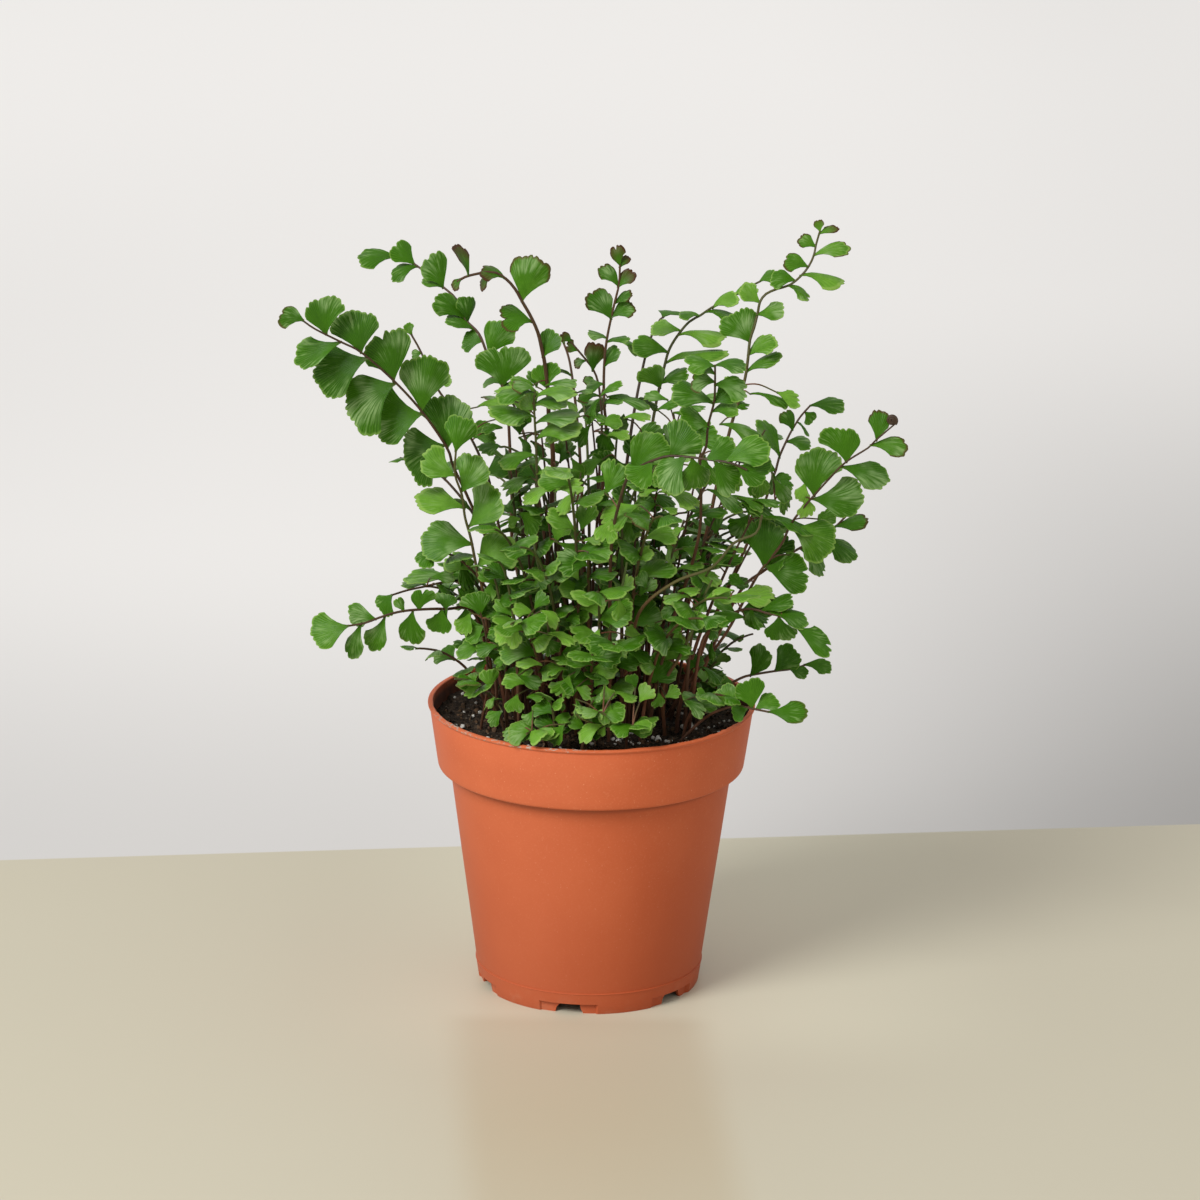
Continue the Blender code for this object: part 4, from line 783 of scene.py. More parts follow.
drawnFronds = [
    dict(name="left_broad", base=(-20, -4), stem=0.85, slim=0.74, tone=0.30, route=[
        (505, 600, -6), (495, 559, -12), (482, 529, -17), (465, 491, -24), (453, 466, -28), (447, 448, -31),
        (423, 413, -36), (395, 382, -41), (362, 353, -46), (341, 342, -49), (315, 329, -52), (302, 320, -53)],
        leaflets=[
        (441, 448, 402, 459, 62, 0), (421, 415, 370, 423, 62, 5), (393, 386, 342, 404, 62, 5),
        (365, 362, 311, 376, 56, 15), (341, 343, 293, 365, 34, 30), (448, 448, 453, 397, 54, 10),
        (422, 411, 425, 355, 52, -10), (394, 381, 388, 330, 50, 10), (362, 352, 353, 311, 50, -5),
        (327, 333, 317, 298, 42, 10), (302, 320, 281, 310, 28, 30)]),
    dict(name="left_front", base=(-31, -14), stem=0.75, tone=0.60, route=[
        (484, 600, -20), (478, 575, -23), (471, 539, -28), (465, 517, -31), (462, 495, -34), (455, 474, -37),
        (456, 450, -39)],
        leaflets=[
        (456, 449, 463, 416, 34, 0), (455, 476, 418, 461, 34, 10), (462, 492, 482, 459, 38, 5),
        (464, 509, 414, 496, 40, 45), (468, 527, 504, 495, 44, 20), (472, 545, 421, 534, 46, 25),
        (477, 567, 508, 534, 44, 10)]),
    dict(name="left_high", base=(-14, 12), stem=0.8, tone=0.36, route=[
        (515, 560, 14), (512, 500, 17), (509, 430, 20), (507, 404, 22), (502, 385, 24), (488, 356, 27),
        (479, 334, 30), (465, 319, 33), (456, 299, 36), (443, 287, 39), (429, 275, 42), (408, 260, 46),
        (396, 258, 48)],
        leaflets=[
        (396, 258, 357, 254, 34, 50), (416, 262, 394, 244, 26, 20), (444, 287, 432, 253, 30, 10),
        (418, 266, 389, 272, 26, 50), (441, 288, 421, 280, 14, 45), (464, 319, 438, 292, 26, 20),
        (468, 321, 468, 296, 24, -35), (478, 328, 445, 317, 32, 58), (481, 342, 462, 336, 24, 10),
        (488, 357, 500, 320, 34, 15), (503, 386, 506, 346, 58, 5), (508, 404, 520, 387, 28, 10)]),
    dict(name="left_thin", base=(-24, 5), stem=0.7, tone=0.5, route=[
        (505, 571, 8), (499, 527, 6), (491, 492, 4), (488, 477, 3), (472, 440, 2), (448, 404, 3),
        (435, 384, 4), (421, 352, 6), (411, 334, 8)],
        leaflets=[
        (411, 334, 405, 324, 12, 20), (421, 353, 411, 354, 12, 0), (435, 384, 451, 376, 16, 40),
        (470, 437, 492, 424, 36, 35), (486, 474, 508, 462, 34, 45), (488, 480, 462, 478, 30, 50)]),
    dict(name="arching", base=(-8, 4), stem=1.25, tip=0.7, tone=0.42, brownTip=4, edged=6, route=[
        (548, 600, 2), (551, 520, 1), (553, 457, 0), (549, 420, 0), (548, 392, -1), (545, 365, -2),
        (542, 350, -3), (538, 333, -4), (531, 317, -5), (523, 303, -6), (515, 289, -7), (506, 279, -8),
        (496, 273, -9), (488, 272, -10), (476, 274, -11), (465, 277, -12), (457, 282, -12)],
        leaflets=[
        (505, 277, 481, 266, 30, 60), (492, 273, 470, 281, 26, 58), (468, 276, 455, 244, 24, 60),
        (460, 280, 451, 288, 14, 40), (525, 300, 532, 255, 42, 0), (532, 322, 500, 313, 36, 42),
        (544, 357, 554, 331, 28, 30), (547, 387, 540, 364, 32, -20)]),
    dict(name="level_tuft", base=(-14, -6), stem=0.75, tone=0.62, route=[
        (530, 600, -12), (537, 540, -16), (537, 482, -20), (536, 444, -23), (534, 405, -26), (535, 390, -27)],
        leaflets=[
        (535, 391, 512, 381, 26, 62), (535, 394, 495, 392, 34, 66), (535, 398, 578, 387, 34, 66),
        (534, 404, 568, 398, 28, 58), (534, 410, 523, 396, 26, 10), (535, 418, 488, 410, 36, 60),
        (535, 424, 578, 409, 36, 60), (536, 440, 580, 418, 36, 52), (536, 456, 497, 460, 34, 58),
        (537, 474, 572, 470, 34, 55)]),
    dict(name="middle_high", base=(3, 6), stem=0.85, tone=0.34, brownTip=3, edged=7, route=[
        (600, 560, 8), (603, 480, 9), (606, 430, 10), (604, 402, 10), (604, 370, 11), (606, 345, 11),
        (610, 323, 12), (615, 301, 12), (619, 284, 13), (620, 264, 13)],
        leaflets=[
        (620, 265, 612, 246, 16, 0), (620, 267, 628, 254, 12, 20), (619, 287, 632, 269, 16, 20),
        (617, 286, 606, 262, 18, 20), (615, 304, 631, 290, 14, 40), (612, 317, 631, 300, 20, 20),
        (611, 319, 596, 289, 28, 5), (606, 339, 588, 330, 20, 66), (606, 343, 629, 337, 20, 66),
        (605, 367, 616, 346, 20, 42), (604, 384, 585, 390, 24, 58)]),
    dict(name="middle_curled", base=(-2, 15), stem=0.7, tone=0.32, brownTip=4, edged=6, route=[
        (596, 540, 18), (600, 460, 22), (602, 420, 24), (600, 396, 26), (598, 382, 27), (593, 369, 28),
        (582, 355, 29), (570, 341, 30)],
        leaflets=[
        (570, 341, 562, 332, 12, 20), (594, 370, 595, 342, 22, 5), (577, 350, 565, 347, 14, 10),
        (586, 360, 573, 363, 12, 20), (598, 386, 583, 378, 14, 45), (600, 396, 577, 395, 18, 56)]),
    dict(name="right_high_low", base=(12, 12), stem=0.85, tone=0.62, route=[
        (640, 560, 18), (650, 480, 24), (652, 430, 28), (655, 409, 30), (659, 389, 32), (664, 368, 34),
        (669, 350, 36), (678, 335, 38), (689, 322, 40), (701, 315, 42), (711, 308, 43), (728, 299, 45),
        (745, 289, 47), (761, 281, 49)],
        leaflets=[
        (668, 353, 621, 350, 34, 60), (681, 331, 649, 330, 34, 60), (699, 316, 678, 313, 24, 66),
        (678, 336, 727, 332, 30, 62), (665, 364, 728, 349, 34, 64), (705, 312, 739, 315, 28, 66),
        (713, 307, 737, 292, 28, 60), (659, 388, 652, 364, 30, 0), (660, 384, 687, 368, 28, 52),
        (735, 295, 757, 283, 26, 58), (761, 281, 776, 272, 24, 58)]),
    dict(name="right_highest", base=(22, 4), stem=0.9, tone=0.60, brownTip=2, edged=5, route=[
        (700, 560, 4), (718, 480, 4), (730, 430, 5), (738, 403, 5), (745, 379, 6), (748, 359, 6),
        (750, 340, 7), (754, 328, 7), (758, 312, 8), (760, 302, 8), (766, 294, 9), (777, 289, 10),
        (790, 285, 11), (801, 276, 12), (809, 266, 13), (814, 255, 13), (816, 245, 14), (820, 231, 14)],
        leaflets=[
        (820, 231, 817, 220, 11, 0), (820, 234, 838, 227, 12, 38), (816, 247, 800, 236, 16, 20),
        (814, 256, 850, 243, 20, 42), (808, 267, 785, 256, 22, 25), (801, 277, 846, 278, 26, 58),
        (788, 287, 812, 296, 20, 56), (795, 281, 771, 274, 26, 40), (760, 303, 740, 287, 24, 30),
        (757, 315, 786, 312, 26, 42), (750, 342, 733, 312, 42, 5), (748, 356, 774, 334, 26, 42),
        (746, 374, 779, 350, 22, 55), (740, 398, 722, 380, 28, 40)]),
    dict(name="right_middle", base=(14, -10), stem=0.8, tone=0.48, route=[
        (680, 600, -16), (698, 540, -22), (701, 500, -27), (700, 462, -31), (706, 447, -33), (708, 426, -35),
        (714, 402, -38), (715, 383, -40), (715, 365, -42)],
        leaflets=[
        (715, 367, 685, 361, 30, 52), (715, 366, 747, 363, 30, 56), (715, 374, 697, 359, 24, 58),
        (715, 382, 691, 377, 24, 20), (713, 404, 673, 384, 34, 42), (715, 385, 749, 385, 32, 36),
        (714, 403, 736, 387, 28, 20), (712, 412, 738, 404, 28, 52), (708, 427, 680, 413, 30, 36)]),
    dict(name="right_arch", base=(6, -16), stem=0.8, tone=0.42, route=[
        (610, 600, -28), (612, 540, -36), (620, 500, -42), (629, 475, -46), (641, 466, -49), (657, 459, -52),
        (670, 456, -54), (689, 457, -57), (711, 460, -59), (731, 463, -61), (747, 470, -62)],
        leaflets=[
        (670, 456, 694, 428, 44, 0), (632, 473, 656, 431, 44, 0), (686, 457, 656, 484, 40, 15),
        (692, 457, 699, 494, 38, 10), (714, 461, 735, 493, 32, 10), (706, 460, 736, 446, 32, 10),
        (725, 462, 768, 440, 34, 32), (738, 466, 767, 481, 36, 10), (746, 470, 762, 498, 30, 40),
        (652, 461, 636, 489, 34, 20)]),
    dict(name="right_behind", base=(28, 13), stem=0.75, tone=0.44, route=[
        (740, 560, 20), (762, 510, 24), (772, 480, 26), (776, 470, 27), (779, 458, 28), (785, 444, 29),
        (792, 430, 31), (801, 416, 32), (810, 406, 33)],
        leaflets=[
        (810, 406, 846, 403, 26, 48), (805, 412, 815, 421, 16, 10), (797, 422, 827, 429, 20, 62),
        (786, 442, 812, 438, 24, 48), (779, 458, 758, 420, 30, 52), (792, 430, 787, 409, 20, 35),
        (776, 471, 757, 462, 30, 40), (771, 484, 792, 476, 30, 45)]),
    dict(name="right_outer", base=(24, -6), stem=0.9, slim=0.66, tone=0.44, curl=1.9, edged=2, route=[
        (702, 664, -9), (717, 646, -10), (731, 625, -11), (751, 587, -13), (762, 569, -14), (781, 545, -16),
        (788, 530, -17), (795, 518, -18), (811, 499, -20), (829, 479, -22), (846, 462, -24), (868, 448, -26),
        (875, 441, -27), (895, 424, -28)],
        leaflets=[
        (876, 440, 883, 411, 22, 0), (871, 446, 909, 444, 24, 32), (846, 462, 846, 426, 42, 0),
        (841, 467, 892, 478, 32, 25), (814, 496, 811, 448, 48, 0), (812, 499, 865, 503, 42, 10),
        (790, 527, 837, 546, 46, 5), (765, 566, 809, 580, 42, 5), (764, 567, 765, 520, 44, -15)]),
    dict(name="right_inner", base=(31, 4), stem=0.75, tone=0.42, route=[
        (735, 600, 8), (765, 570, 12), (800, 548, 16), (829, 532, 20), (846, 516, 22), (852, 508, 23)],
        leaflets=[
        (832, 530, 822, 511, 22, 0), (834, 528, 870, 522, 24, 48), (820, 538, 860, 556, 26, 32),
        (800, 549, 829, 571, 24, 42), (851, 509, 858, 497, 14, 20)]),
    dict(name="low_left", base=(-34, -2), stem=0.75, tone=0.42, route=[
        (487, 660, -6), (480, 625, -9), (468, 608, -12), (448, 609, -16), (431, 609, -20), (404, 611, -25),
        (384, 616, -29), (365, 623, -32), (348, 626, -34)],
        leaflets=[
        (348, 626, 310, 637, 38, 10), (376, 620, 348, 611, 24, 5), (362, 624, 347, 660, 20, 20),
        (385, 616, 373, 654, 24, 10), (413, 611, 406, 644, 28, 0), (404, 611, 397, 598, 12, 20),
        (419, 610, 419, 589, 26, 10), (445, 609, 447, 594, 26, 10), (442, 609, 440, 635, 28, 15),
        (466, 609, 463, 637, 28, 10)]),
    dict(name="left_swept", base=(-29, 10), stem=0.7, tone=0.50, route=[
        (492, 640, 6), (484, 595, 3), (470, 582, 0), (452, 581, -3), (435, 584, -6), (427, 586, -8),
        (408, 590, -11), (392, 595, -14)],
        leaflets=[
        (392, 595, 378, 611, 28, 30), (455, 581, 402, 577, 34, 62), (428, 586, 391, 587, 28, 64),
        (472, 584, 446, 560, 26, 48), (466, 581, 461, 558, 28, 30), (440, 583, 447, 603, 24, 30)]),
    dict(name="left_hooked", base=(-36, -13), stem=0.6, tone=0.5, route=[
        (489, 680, -17), (487, 660, -19), (487, 643, -21), (484, 625, -23), (480, 612, -25)],
        leaflets=[
        (487, 643, 454, 656, 30, 52), (488, 661, 474, 669, 14, 40), (486, 637, 509, 629, 36, 20),
        (484, 626, 464, 641, 30, 15), (480, 612, 476, 592, 32, 10), (488, 655, 508, 656, 30, 30)]),
    dict(name="low_right", base=(36, 3), stem=0.6, tone=0.42, route=[
        (715, 694, 2), (728, 685, 4), (741, 678, 5), (751, 675, 6), (775, 671, 8), (792, 669, 10),
        (805, 665, 12)],
        leaflets=[
        (750, 675, 771, 650, 26, 10), (775, 671, 796, 649, 30, 10), (805, 665, 833, 664, 18, 30),
        (789, 669, 808, 677, 14, 20), (732, 683, 708, 672, 24, 40)]),
    dict(name="right_swept", base=(32, -13), stem=0.7, tone=0.40, route=[
        (700, 650, -15), (712, 628, -17), (735, 612, -20), (752, 609, -23), (766, 613, -25), (782, 617, -27),
        (796, 627, -29)],
        leaflets=[
        (796, 627, 832, 652, 26, 20), (779, 616, 779, 643, 34, 0), (769, 613, 810, 618, 30, 56),
        (761, 611, 795, 600, 24, 48), (742, 610, 775, 593, 32, 32), (734, 612, 714, 599, 24, 40),
        (752, 610, 748, 629, 24, 30)]),
    dict(name="right_over_rim", base=(29, -25), stem=0.6, tone=0.45, route=[
        (700, 722, -27), (715, 712, -30), (735, 706, -33), (754, 709, -36), (769, 712, -38)],
        leaflets=[
        (735, 706, 718, 687, 26, 5), (752, 709, 750, 679, 32, 0), (748, 708, 731, 714, 20, 20),
        (756, 709, 776, 693, 24, 10), (769, 712, 809, 716, 26, 30)]),
]

# name, then azimuth in degrees with the base's radius, the reach from the axis and the height in mm, then how
# many leaflets, their length in mm, and tone, higher in front and lower behind, partly as painted light and shade
ruledRows = [
    ("front_tall", (-102, 18, 50, 98), 7, 12, 0.62), ("front_right_tall", (-58, 20, 52, 84), 7, 12, 0.58),
    ("front_left_tall", (-134, 22, 54, 78), 7, 12, 0.60), ("front_middle", (-84, 26, 58, 62), 6, 11.5, 0.66),
    ("front_left", (-122, 29, 58, 50), 6, 11, 0.62), ("front_right", (-48, 28, 60, 56), 6, 11.5, 0.66),
    ("side_left", (-162, 25, 60, 66), 6, 11.5, 0.48), ("side_right", (-4, 17, 62, 70), 6, 11.5, 0.48),
    ("back_right_tall", (62, 14, 58, 126), 6, 13, 0.36), ("back_tall", (96, 20, 58, 118), 6, 13, 0.34),
    ("back_left_tall", (128, 20, 66, 104), 6, 13, 0.36), ("back_left", (158, 24, 72, 82), 5, 12.5, 0.38),
    ("back_right", (34, 25, 70, 88), 5, 12.5, 0.38), ("back_wide", (78, 28, 57, 76), 5, 12, 0.36),
    ("back_left_wide", (112, 28, 64, 58), 4, 12, 0.36), ("back_left_low", (142, 31, 66, 40), 4, 10, 0.38),
    ("back_right_low", (50, 31, 66, 46), 4, 11, 0.38), ("back_low", (88, 35, 58, 26), 4, 9, 0.42),
    ("low_front", (-93, 33, 51, 20), 6, 8.5, 0.68), ("low_front_left", (-112, 37, 54, 13), 6, 8.5, 0.66),
    ("low_front_right", (-72, 37, 54, 16), 6, 8.5, 0.64), ("low_side_left", (-140, 36, 52, 24), 6, 8.5, 0.60),
    ("low_side_right", (-36, 37, 56, 22), 5, 8.5, 0.55), ("low_back_left", (172, 35, 58, 26), 4, 8, 0.42),
    ("low_back_right", (18, 36, 60, 24), 4, 8, 0.42), ("inner_left", (-150, 11, 30, 70), 6, 10.5, 0.50),
    ("inner_right", (-25, 10, 32, 76), 6, 10.5, 0.50),
]
ruledFronds = [dict(zip(("name", "at", "leaflets", "leaf", "tone"), row)) for row in ruledRows]

stem = dict(
    tip=0.6, taper=1.3, sample=2.0 * mm, tolerance=0.6 * mm, collar=1.5 * mm, sunk=6.7 * mm, ruled=0.55,
    perHeight=0.003, sides=7
)


def bothWays(rows):
    # each row, then the same with its first two numbers negated
    return [(way * first, way * second, *rest) for first, second, *rest in rows for way in (1, -1)]


# bow and drift in mm: the solid took the first that kept its stem clear of the others
bends = [(0, 0)] + bothWays([(2, 0), (4, 0), (0, 3), (3, 4), (6, 0), (5, -5), (8, 4), (10, 0)])
# turn and lift in degrees, and size: the solid took the first that kept its leaflet clear
tries = ([(0, 0, 1.0)] + bothWays([(10, 0, 1.0), (0, 10, 1.0), (20, 6, 0.95), (12, -16, 0.95), (32, 0, 0.9),
                                   (0, 24, 0.85), (25, 20, 0.8)])
         + [(0, 0, 0.7)] + bothWays([(25, -14, 0.7), (45, 10, 0.65), (0, 34, 0.6)]))
rule = dict(
    shares=(0.25, 0.5, 0.75, 0.92, 1.0), leanPower=1.7, risePower=0.9, sway=9.0, firstLeaflet=0.34,
    within=0.6,                           # where a leaflet stands within its own share of the line
    upright=0.2,                          # a line this near to upright takes its sides from the plant's axis
    spread=62.0, spreadSwing=10.0, faceLean=0.55, faceSwing=0.45, faceAside=0.35, longestAt=0.575, shrink=1.54,
    lengthSpread=0.12, widthSpread=0.15
)
leaf = dict(
    sink=0.2 * mm, deepest=0.9 * mm, fan=math.radians(42.0), shoulder=0.26,
    margin=[(-1.0, 1.0), (-0.66, 1.03), (-0.33, 0.93), (0.0, 1.0), (0.33, 0.93), (0.66, 1.03), (1.0, 1.0)],
    smallMargin=[(-1.0, 1.0), (-0.45, 1.03), (0.0, 0.92), (0.45, 1.03), (1.0, 1.0)], small=12.5 * mm,
    droop=0.10, droopSpread=0.08, cupSpread=0.07, solidPower=2.2, solidThick=0.65 * mm,
    thick=(0.30 * mm, 1.15, 0.55),        # thickness, its share at the root, and what it loses to the edge
    neckHalf=0.34 * mm, waist=0.46, skew=0.17, sweep=math.radians(11.0), arch=(0.025, 0.090),
    lobed=(0.45, 0.55),                   # shares of the reach without and with the margin's lobes
    cleft=(0.17, 0.35, 0.07, 0.72),       # depth, place, width, and the draw that gives a leaflet one
    teeth=(0.65, (0.35, 5.3, 1.0), (0.30, 13.7, 2.3)),  # mean, then size, turns and shift of each swing
    smallTeeth=1.4,
    toothed=(0.8, 0.2),                   # where along s the teeth begin, and over how much they grow
    waves=((0.034, 2, 3.1, 1.0), (0.014, 3, 8.0, 1.7)),  # size, power of s, turns and shift
    brownCurl=(0.10, 0.2), fewestVeins=6.0, veinsPerWidth=0.82
)
# how finely a sheet is cut: 0 for the thicket, 1 for the growth in front, 2 for the fronds of the solids
leafCut = [
    dict(perWidth=0.55, teeth=(4, 5), columns=2, depth=0.085, crimp=0.0,
         rows=(0.0, 0.35, 0.8, 1.0), smallRows=(0.0, 0.35, 0.8, 1.0)),
    dict(perWidth=0.75, teeth=(5, 8), columns=4, depth=0.092, crimp=0.021,
         rows=(0.0, 0.12, 0.34, 0.62, 0.85, 1.0), smallRows=(0.0, 0.16, 0.45, 0.78, 1.0)),
    dict(perWidth=0.72, teeth=(6, 15), columns=3, depth=0.046, crimp=0.0,
         rows=(0.0, 0.10, 0.26, 0.48, 0.70, 0.88, 1.0), smallRows=(0.0, 0.16, 0.45, 0.78, 1.0)),
]
# what the scene alone gives a frond: slimmer stems, tones, and how near a fit counts
dress = dict(
    slim=0.86, slimTip=0.66,
    green=(0.12, 0.22, 0.55),             # least, what a bright frond adds, and the tone it starts at
    toneSwing=0.14, brownFrom=0.8, edged=0.2, browned=0.62, near=0.05 * mm, fewest=2, loose=0.3 * mm
)
curl = {"inset": 0.35, "turns": 2.3, "shrink": 0.94, "thick": 0.62, "thinned": 0.25, "points": 40}
# the channels that keep the even spreads of jitter apart
channels = dict(spread=1, faceSwing=2, faceAside=3, redness=3, length=4, sway=5, width=6, droop=7, cup=8, skew=9,
                cleftPlace=10, cleft=11, phase=13, brown=14, tone=15, sweep=16, bareBow=22, bareRadius=23,
                bareGreen=24, bareRed=25, base=31, reach=32, height=33, leaf=34)
channelStep = 0.4142


def jitter(number, channel):
    # an even spread from -1 to 1 over the leaflets of the plant
    return 2.0 * math.fmod(number * golden + channels[channel] * channelStep, 1.0) - 1.0


def smoothPath(points, sample=stem["sample"]):
    # Catmull-Rom curve through the points: cubic Hermite spans whose slopes are half the neighbours' difference
    points = np.asarray(points)
    ends = np.concatenate([[points[0] * 2 - points[1]], points, [points[-1] * 2 - points[-2]]])
    path = [points[:1]]
    for before, start, end, after in zip(ends, ends[1:], ends[2:], ends[3:]):
        steps = max(1, round(np.linalg.norm(end - start) / sample))
        t = (np.arange(1, steps + 1) / steps)[:, None]
        path.append(start * (2 * t ** 3 - 3 * t ** 2 + 1) + (end - before) * 0.5 * (t ** 3 - 2 * t ** 2 + t)
                    + end * (3 * t ** 2 - 2 * t ** 3) + (after - start) * 0.5 * (t ** 3 - t ** 2))
    return np.concatenate(path)


def simplify(path, tolerance):
    # drops the points that lie within the tolerance of the line between those kept
    start, chord = path[0], path[-1] - path[0]
    if len(path) < 3:
        return [path[0], path[-1]]
    share = np.clip((path[1:-1] - start) @ chord / (chord @ chord), 0.0, 1.0)[:, None]
    off = np.linalg.norm(path[1:-1] - start - chord * share, axis=1)
    worst = int(off.argmax())
    if off[worst] <= tolerance:
        return [path[0], path[-1]]
    return simplify(path[:worst + 2], tolerance)[:-1] + simplify(path[worst + 1:], tolerance)


def ruledRoute(at):
    # out = base + (reach - base) * share^1.7, up = height * sin(share * 90 degrees)^0.9, swaying round the axis
    azimuth, base, reach, height = at
    turn = math.radians(azimuth)
    sway = math.radians(rule["sway"] * jitter(int(reach + height), "sway"))
    share = np.array(rule["shares"])
    out = (base + (reach - base) * share ** rule["leanPower"]) * mm
    rise = height * np.sin(share * math.pi / 2) ** rule["risePower"] * mm
    swing = turn + sway * share
    points = np.stack([out * np.cos(swing), out * np.sin(swing), soil["edgeZ"] * mm + rise], axis=-1)
    return (base * math.cos(turn), base * math.sin(turn)), points


def bent(points, bow, drift, drawn):
    # moves the points aside by bow * sin(share * 180 degrees) + drift * share: a drawn frond's away from the eye,
    # by that much in depth, and a ruled one's round the plant's axis
    share = ((np.arange(len(points)) + 1) / len(points))
    amount = (bow * np.sin(math.pi * share) + drift * share)[:, None]
    if drawn:
        away = points - eye["place"]
        away /= np.linalg.norm(away, axis=1, keepdims=True)
        return points + away * (amount / away[:, 1:2])
    around = np.stack([-points[:, 1], points[:, 0], np.zeros(len(points))], axis=-1)
    return points + around / np.linalg.norm(around, axis=1, keepdims=True) * amount


def onMound(x, y):
    # the point of the plain mound, without its roughness, at x and y in mm
    return np.array((x * mm, y * mm, mound(x * mm, y * mm)[0]))


def stemLines(base, points):
    # the smooth line from the soil's hole to the tip, and the solid's simpler one
    foot = onMound(*base)
    path = smoothPath([foot + overhead * stem["collar"], *points])
    foot = foot - overhead * stem["sunk"]
    return np.concatenate([[foot], path]), np.array([foot, *simplify(path, stem["tolerance"])])


def nearOnLine(line, across, down):
    # the point of the line seen nearest to (across, down), and the line's direction there
    ray = unit(viewRay(across, down))
    start, span = line[1:-1], line[2:] - line[1:-1]
    flatSpan = span - (span @ ray)[:, None] * ray
    flatStart = (start - eye["place"]) - ((start - eye["place"]) @ ray)[:, None] * ray
    share = np.clip(-(flatStart * flatSpan).sum(axis=1) / (flatSpan ** 2).sum(axis=1), 0.0, 1.0)[:, None]
    best = int(np.linalg.norm(flatStart + flatSpan * share, axis=1).argmin())
    return start[best] + span[best] * share[best], unit(span[best])


def rooted(root, along, run):
    # the root moved back into the stem, deeper where the leaflet runs along it
    aslant = np.linalg.norm(np.cross(along, run))
    return root - along * (leaf["sink"] / max(aslant, leaf["sink"] / leaf["deepest"]))


def facing(root, across, down, turn):
    # from a root to a tip seen at (across, down) at the same depth: the tip, the direction, and the face, turned
    # by these degrees from the eye round that direction
    tip = seenAt(across, down, root[1])
    along = unit(tip - root)
    toEye = unit(eye["place"] - root)
    flat = unit(toEye - along * (toEye @ along))
    aside = np.cross(flat, along)
    aside = -aside if aside[2] < 0 else aside
    return tip, along, flat * math.cos(math.radians(turn)) + aside * math.sin(math.radians(turn))


def drawnLeaflets(line, leaflets):
    # root, direction, face, length and width of each leaflet of a drawn frond
    found = []
    for across, down, tipAcross, tipDown, width, turn in leaflets:
        root, run = nearOnLine(line, across, down)
        tip, along, face = facing(root, tipAcross, tipDown, turn)
        root = rooted(root, along, run)
        found.append((root, along, face, np.linalg.norm(tip - root), width * unitSize(root)))
    return found


def ruledLeaflets(line, count, longest, first, start=rule["firstLeaflet"], endShare=1.0):
    # leaflets by turns on either side of the line's upper part, faced up and outwards, the longest a little
    # over halfway; endShare says how far along the last span the end leaflet stands
    line = line[1:]
    spans = np.linalg.norm(np.diff(line, axis=0), axis=1)
    found = []
    for order in range(count):
        number, last = first + order, order == count - 1
        share = start + (1.0 - start) * (order + rule["within"]) / count
        left = spans.sum() * (1.0 if last else share)
        piece = min(int(np.searchsorted(np.cumsum(spans), left)), len(spans) - 1)
        left = min(left - spans[:piece].sum(), spans[piece]) * (endShare if last else 1.0)
        run = unit(line[piece + 1] - line[piece])
        root = line[piece] + run * left
        outward = unit(np.array((root[0], root[1], 0.0)))
        side = np.cross(run, overhead)
        side = np.cross(outward, overhead) if np.linalg.norm(side) < rule["upright"] else side
        side = unit(side) * (1 if order % 2 else -1)
        spread = 0.0 if last else math.radians(rule["spread"] + rule["spreadSwing"] * jitter(number, "spread"))
        along = unit(run * math.cos(spread) + side * math.sin(spread))
        up = overhead + outward * (rule["faceLean"] + rule["faceSwing"] * jitter(number, "faceSwing"))
        up = up + side * rule["faceAside"] * jitter(number, "faceAside")
        face = unit(up - along * (up @ along))
        size = 1.0 - rule["shrink"] * (share - rule["longestAt"]) ** 2
        length = longest * mm * size * (1.0 + rule["lengthSpread"] * jitter(number, "length"))
        width = length * (1.0 + rule["widthSpread"] * jitter(number, "width"))
        found.append((rooted(root, along, run), along, face, length, width))
    return found


def spun(vector, axis, degrees):
    # Rodrigues' turn of a vector round an axis
    turn = math.radians(degrees)
    return (vector * math.cos(turn) + np.cross(axis, vector) * math.sin(turn)
            + axis * (axis @ vector) * (1 - math.cos(turn)))


def posed(leaflet, attempt):
    # the leaflet after one try's turn, lift and size, as root, three axes, length and width
    root, along, face, length, width = leaflet
    turn, lift, size = attempt
    side = np.cross(face, along)
    along, face = spun(along, side, lift), spun(face, side, lift)
    face = spun(face, along, turn)
    return root, along, np.cross(face, along), face, length * size, width * size


def droopOf(number, length, reach):
    # how far a leaflet hangs: with the square of the reach
    return (leaf["droop"] + leaf["droopSpread"] * jitter(number, "droop")) * length * reach ** 2


def solidCorners(leaflet, attempt, number):
    # the outer corners of the solid's leaflet, on both its faces
    root, along, side, face, length, width = posed(leaflet, attempt)
    across, lobe = np.array(leaf["smallMargin"] if leaflet[3] < leaf["small"] else leaf["margin"]).T
    angle = leaf["fan"] * across
    reach = (1.0 - leaf["shoulder"] * np.abs(across) ** leaf["solidPower"]) * lobe
    rise = leaf["cupSpread"] * jitter(number, "cup") * width * across ** 2 - droopOf(number, length, reach)
    flat = (root + along * (length * reach * np.cos(angle))[:, None]
            + side * (width * reach * np.sin(angle))[:, None])
    return np.concatenate([flat + face * (rise + half * leaf["solidThick"])[:, None] for half in (-0.5, 0.5)])


def gapsTo(points, cloud):
    # from each point to the nearest of the cloud
    return np.sqrt(((points[:, None] - cloud[None]) ** 2).sum(axis=2)).min(axis=1)


def ripples(u, phase, waves, mean=0.0):
    # mean + the sum of size * sin(turns * u + shift * phase)
    return sum((size * np.sin(turns * u + phase * shift) for size, turns, shift in waves), mean)


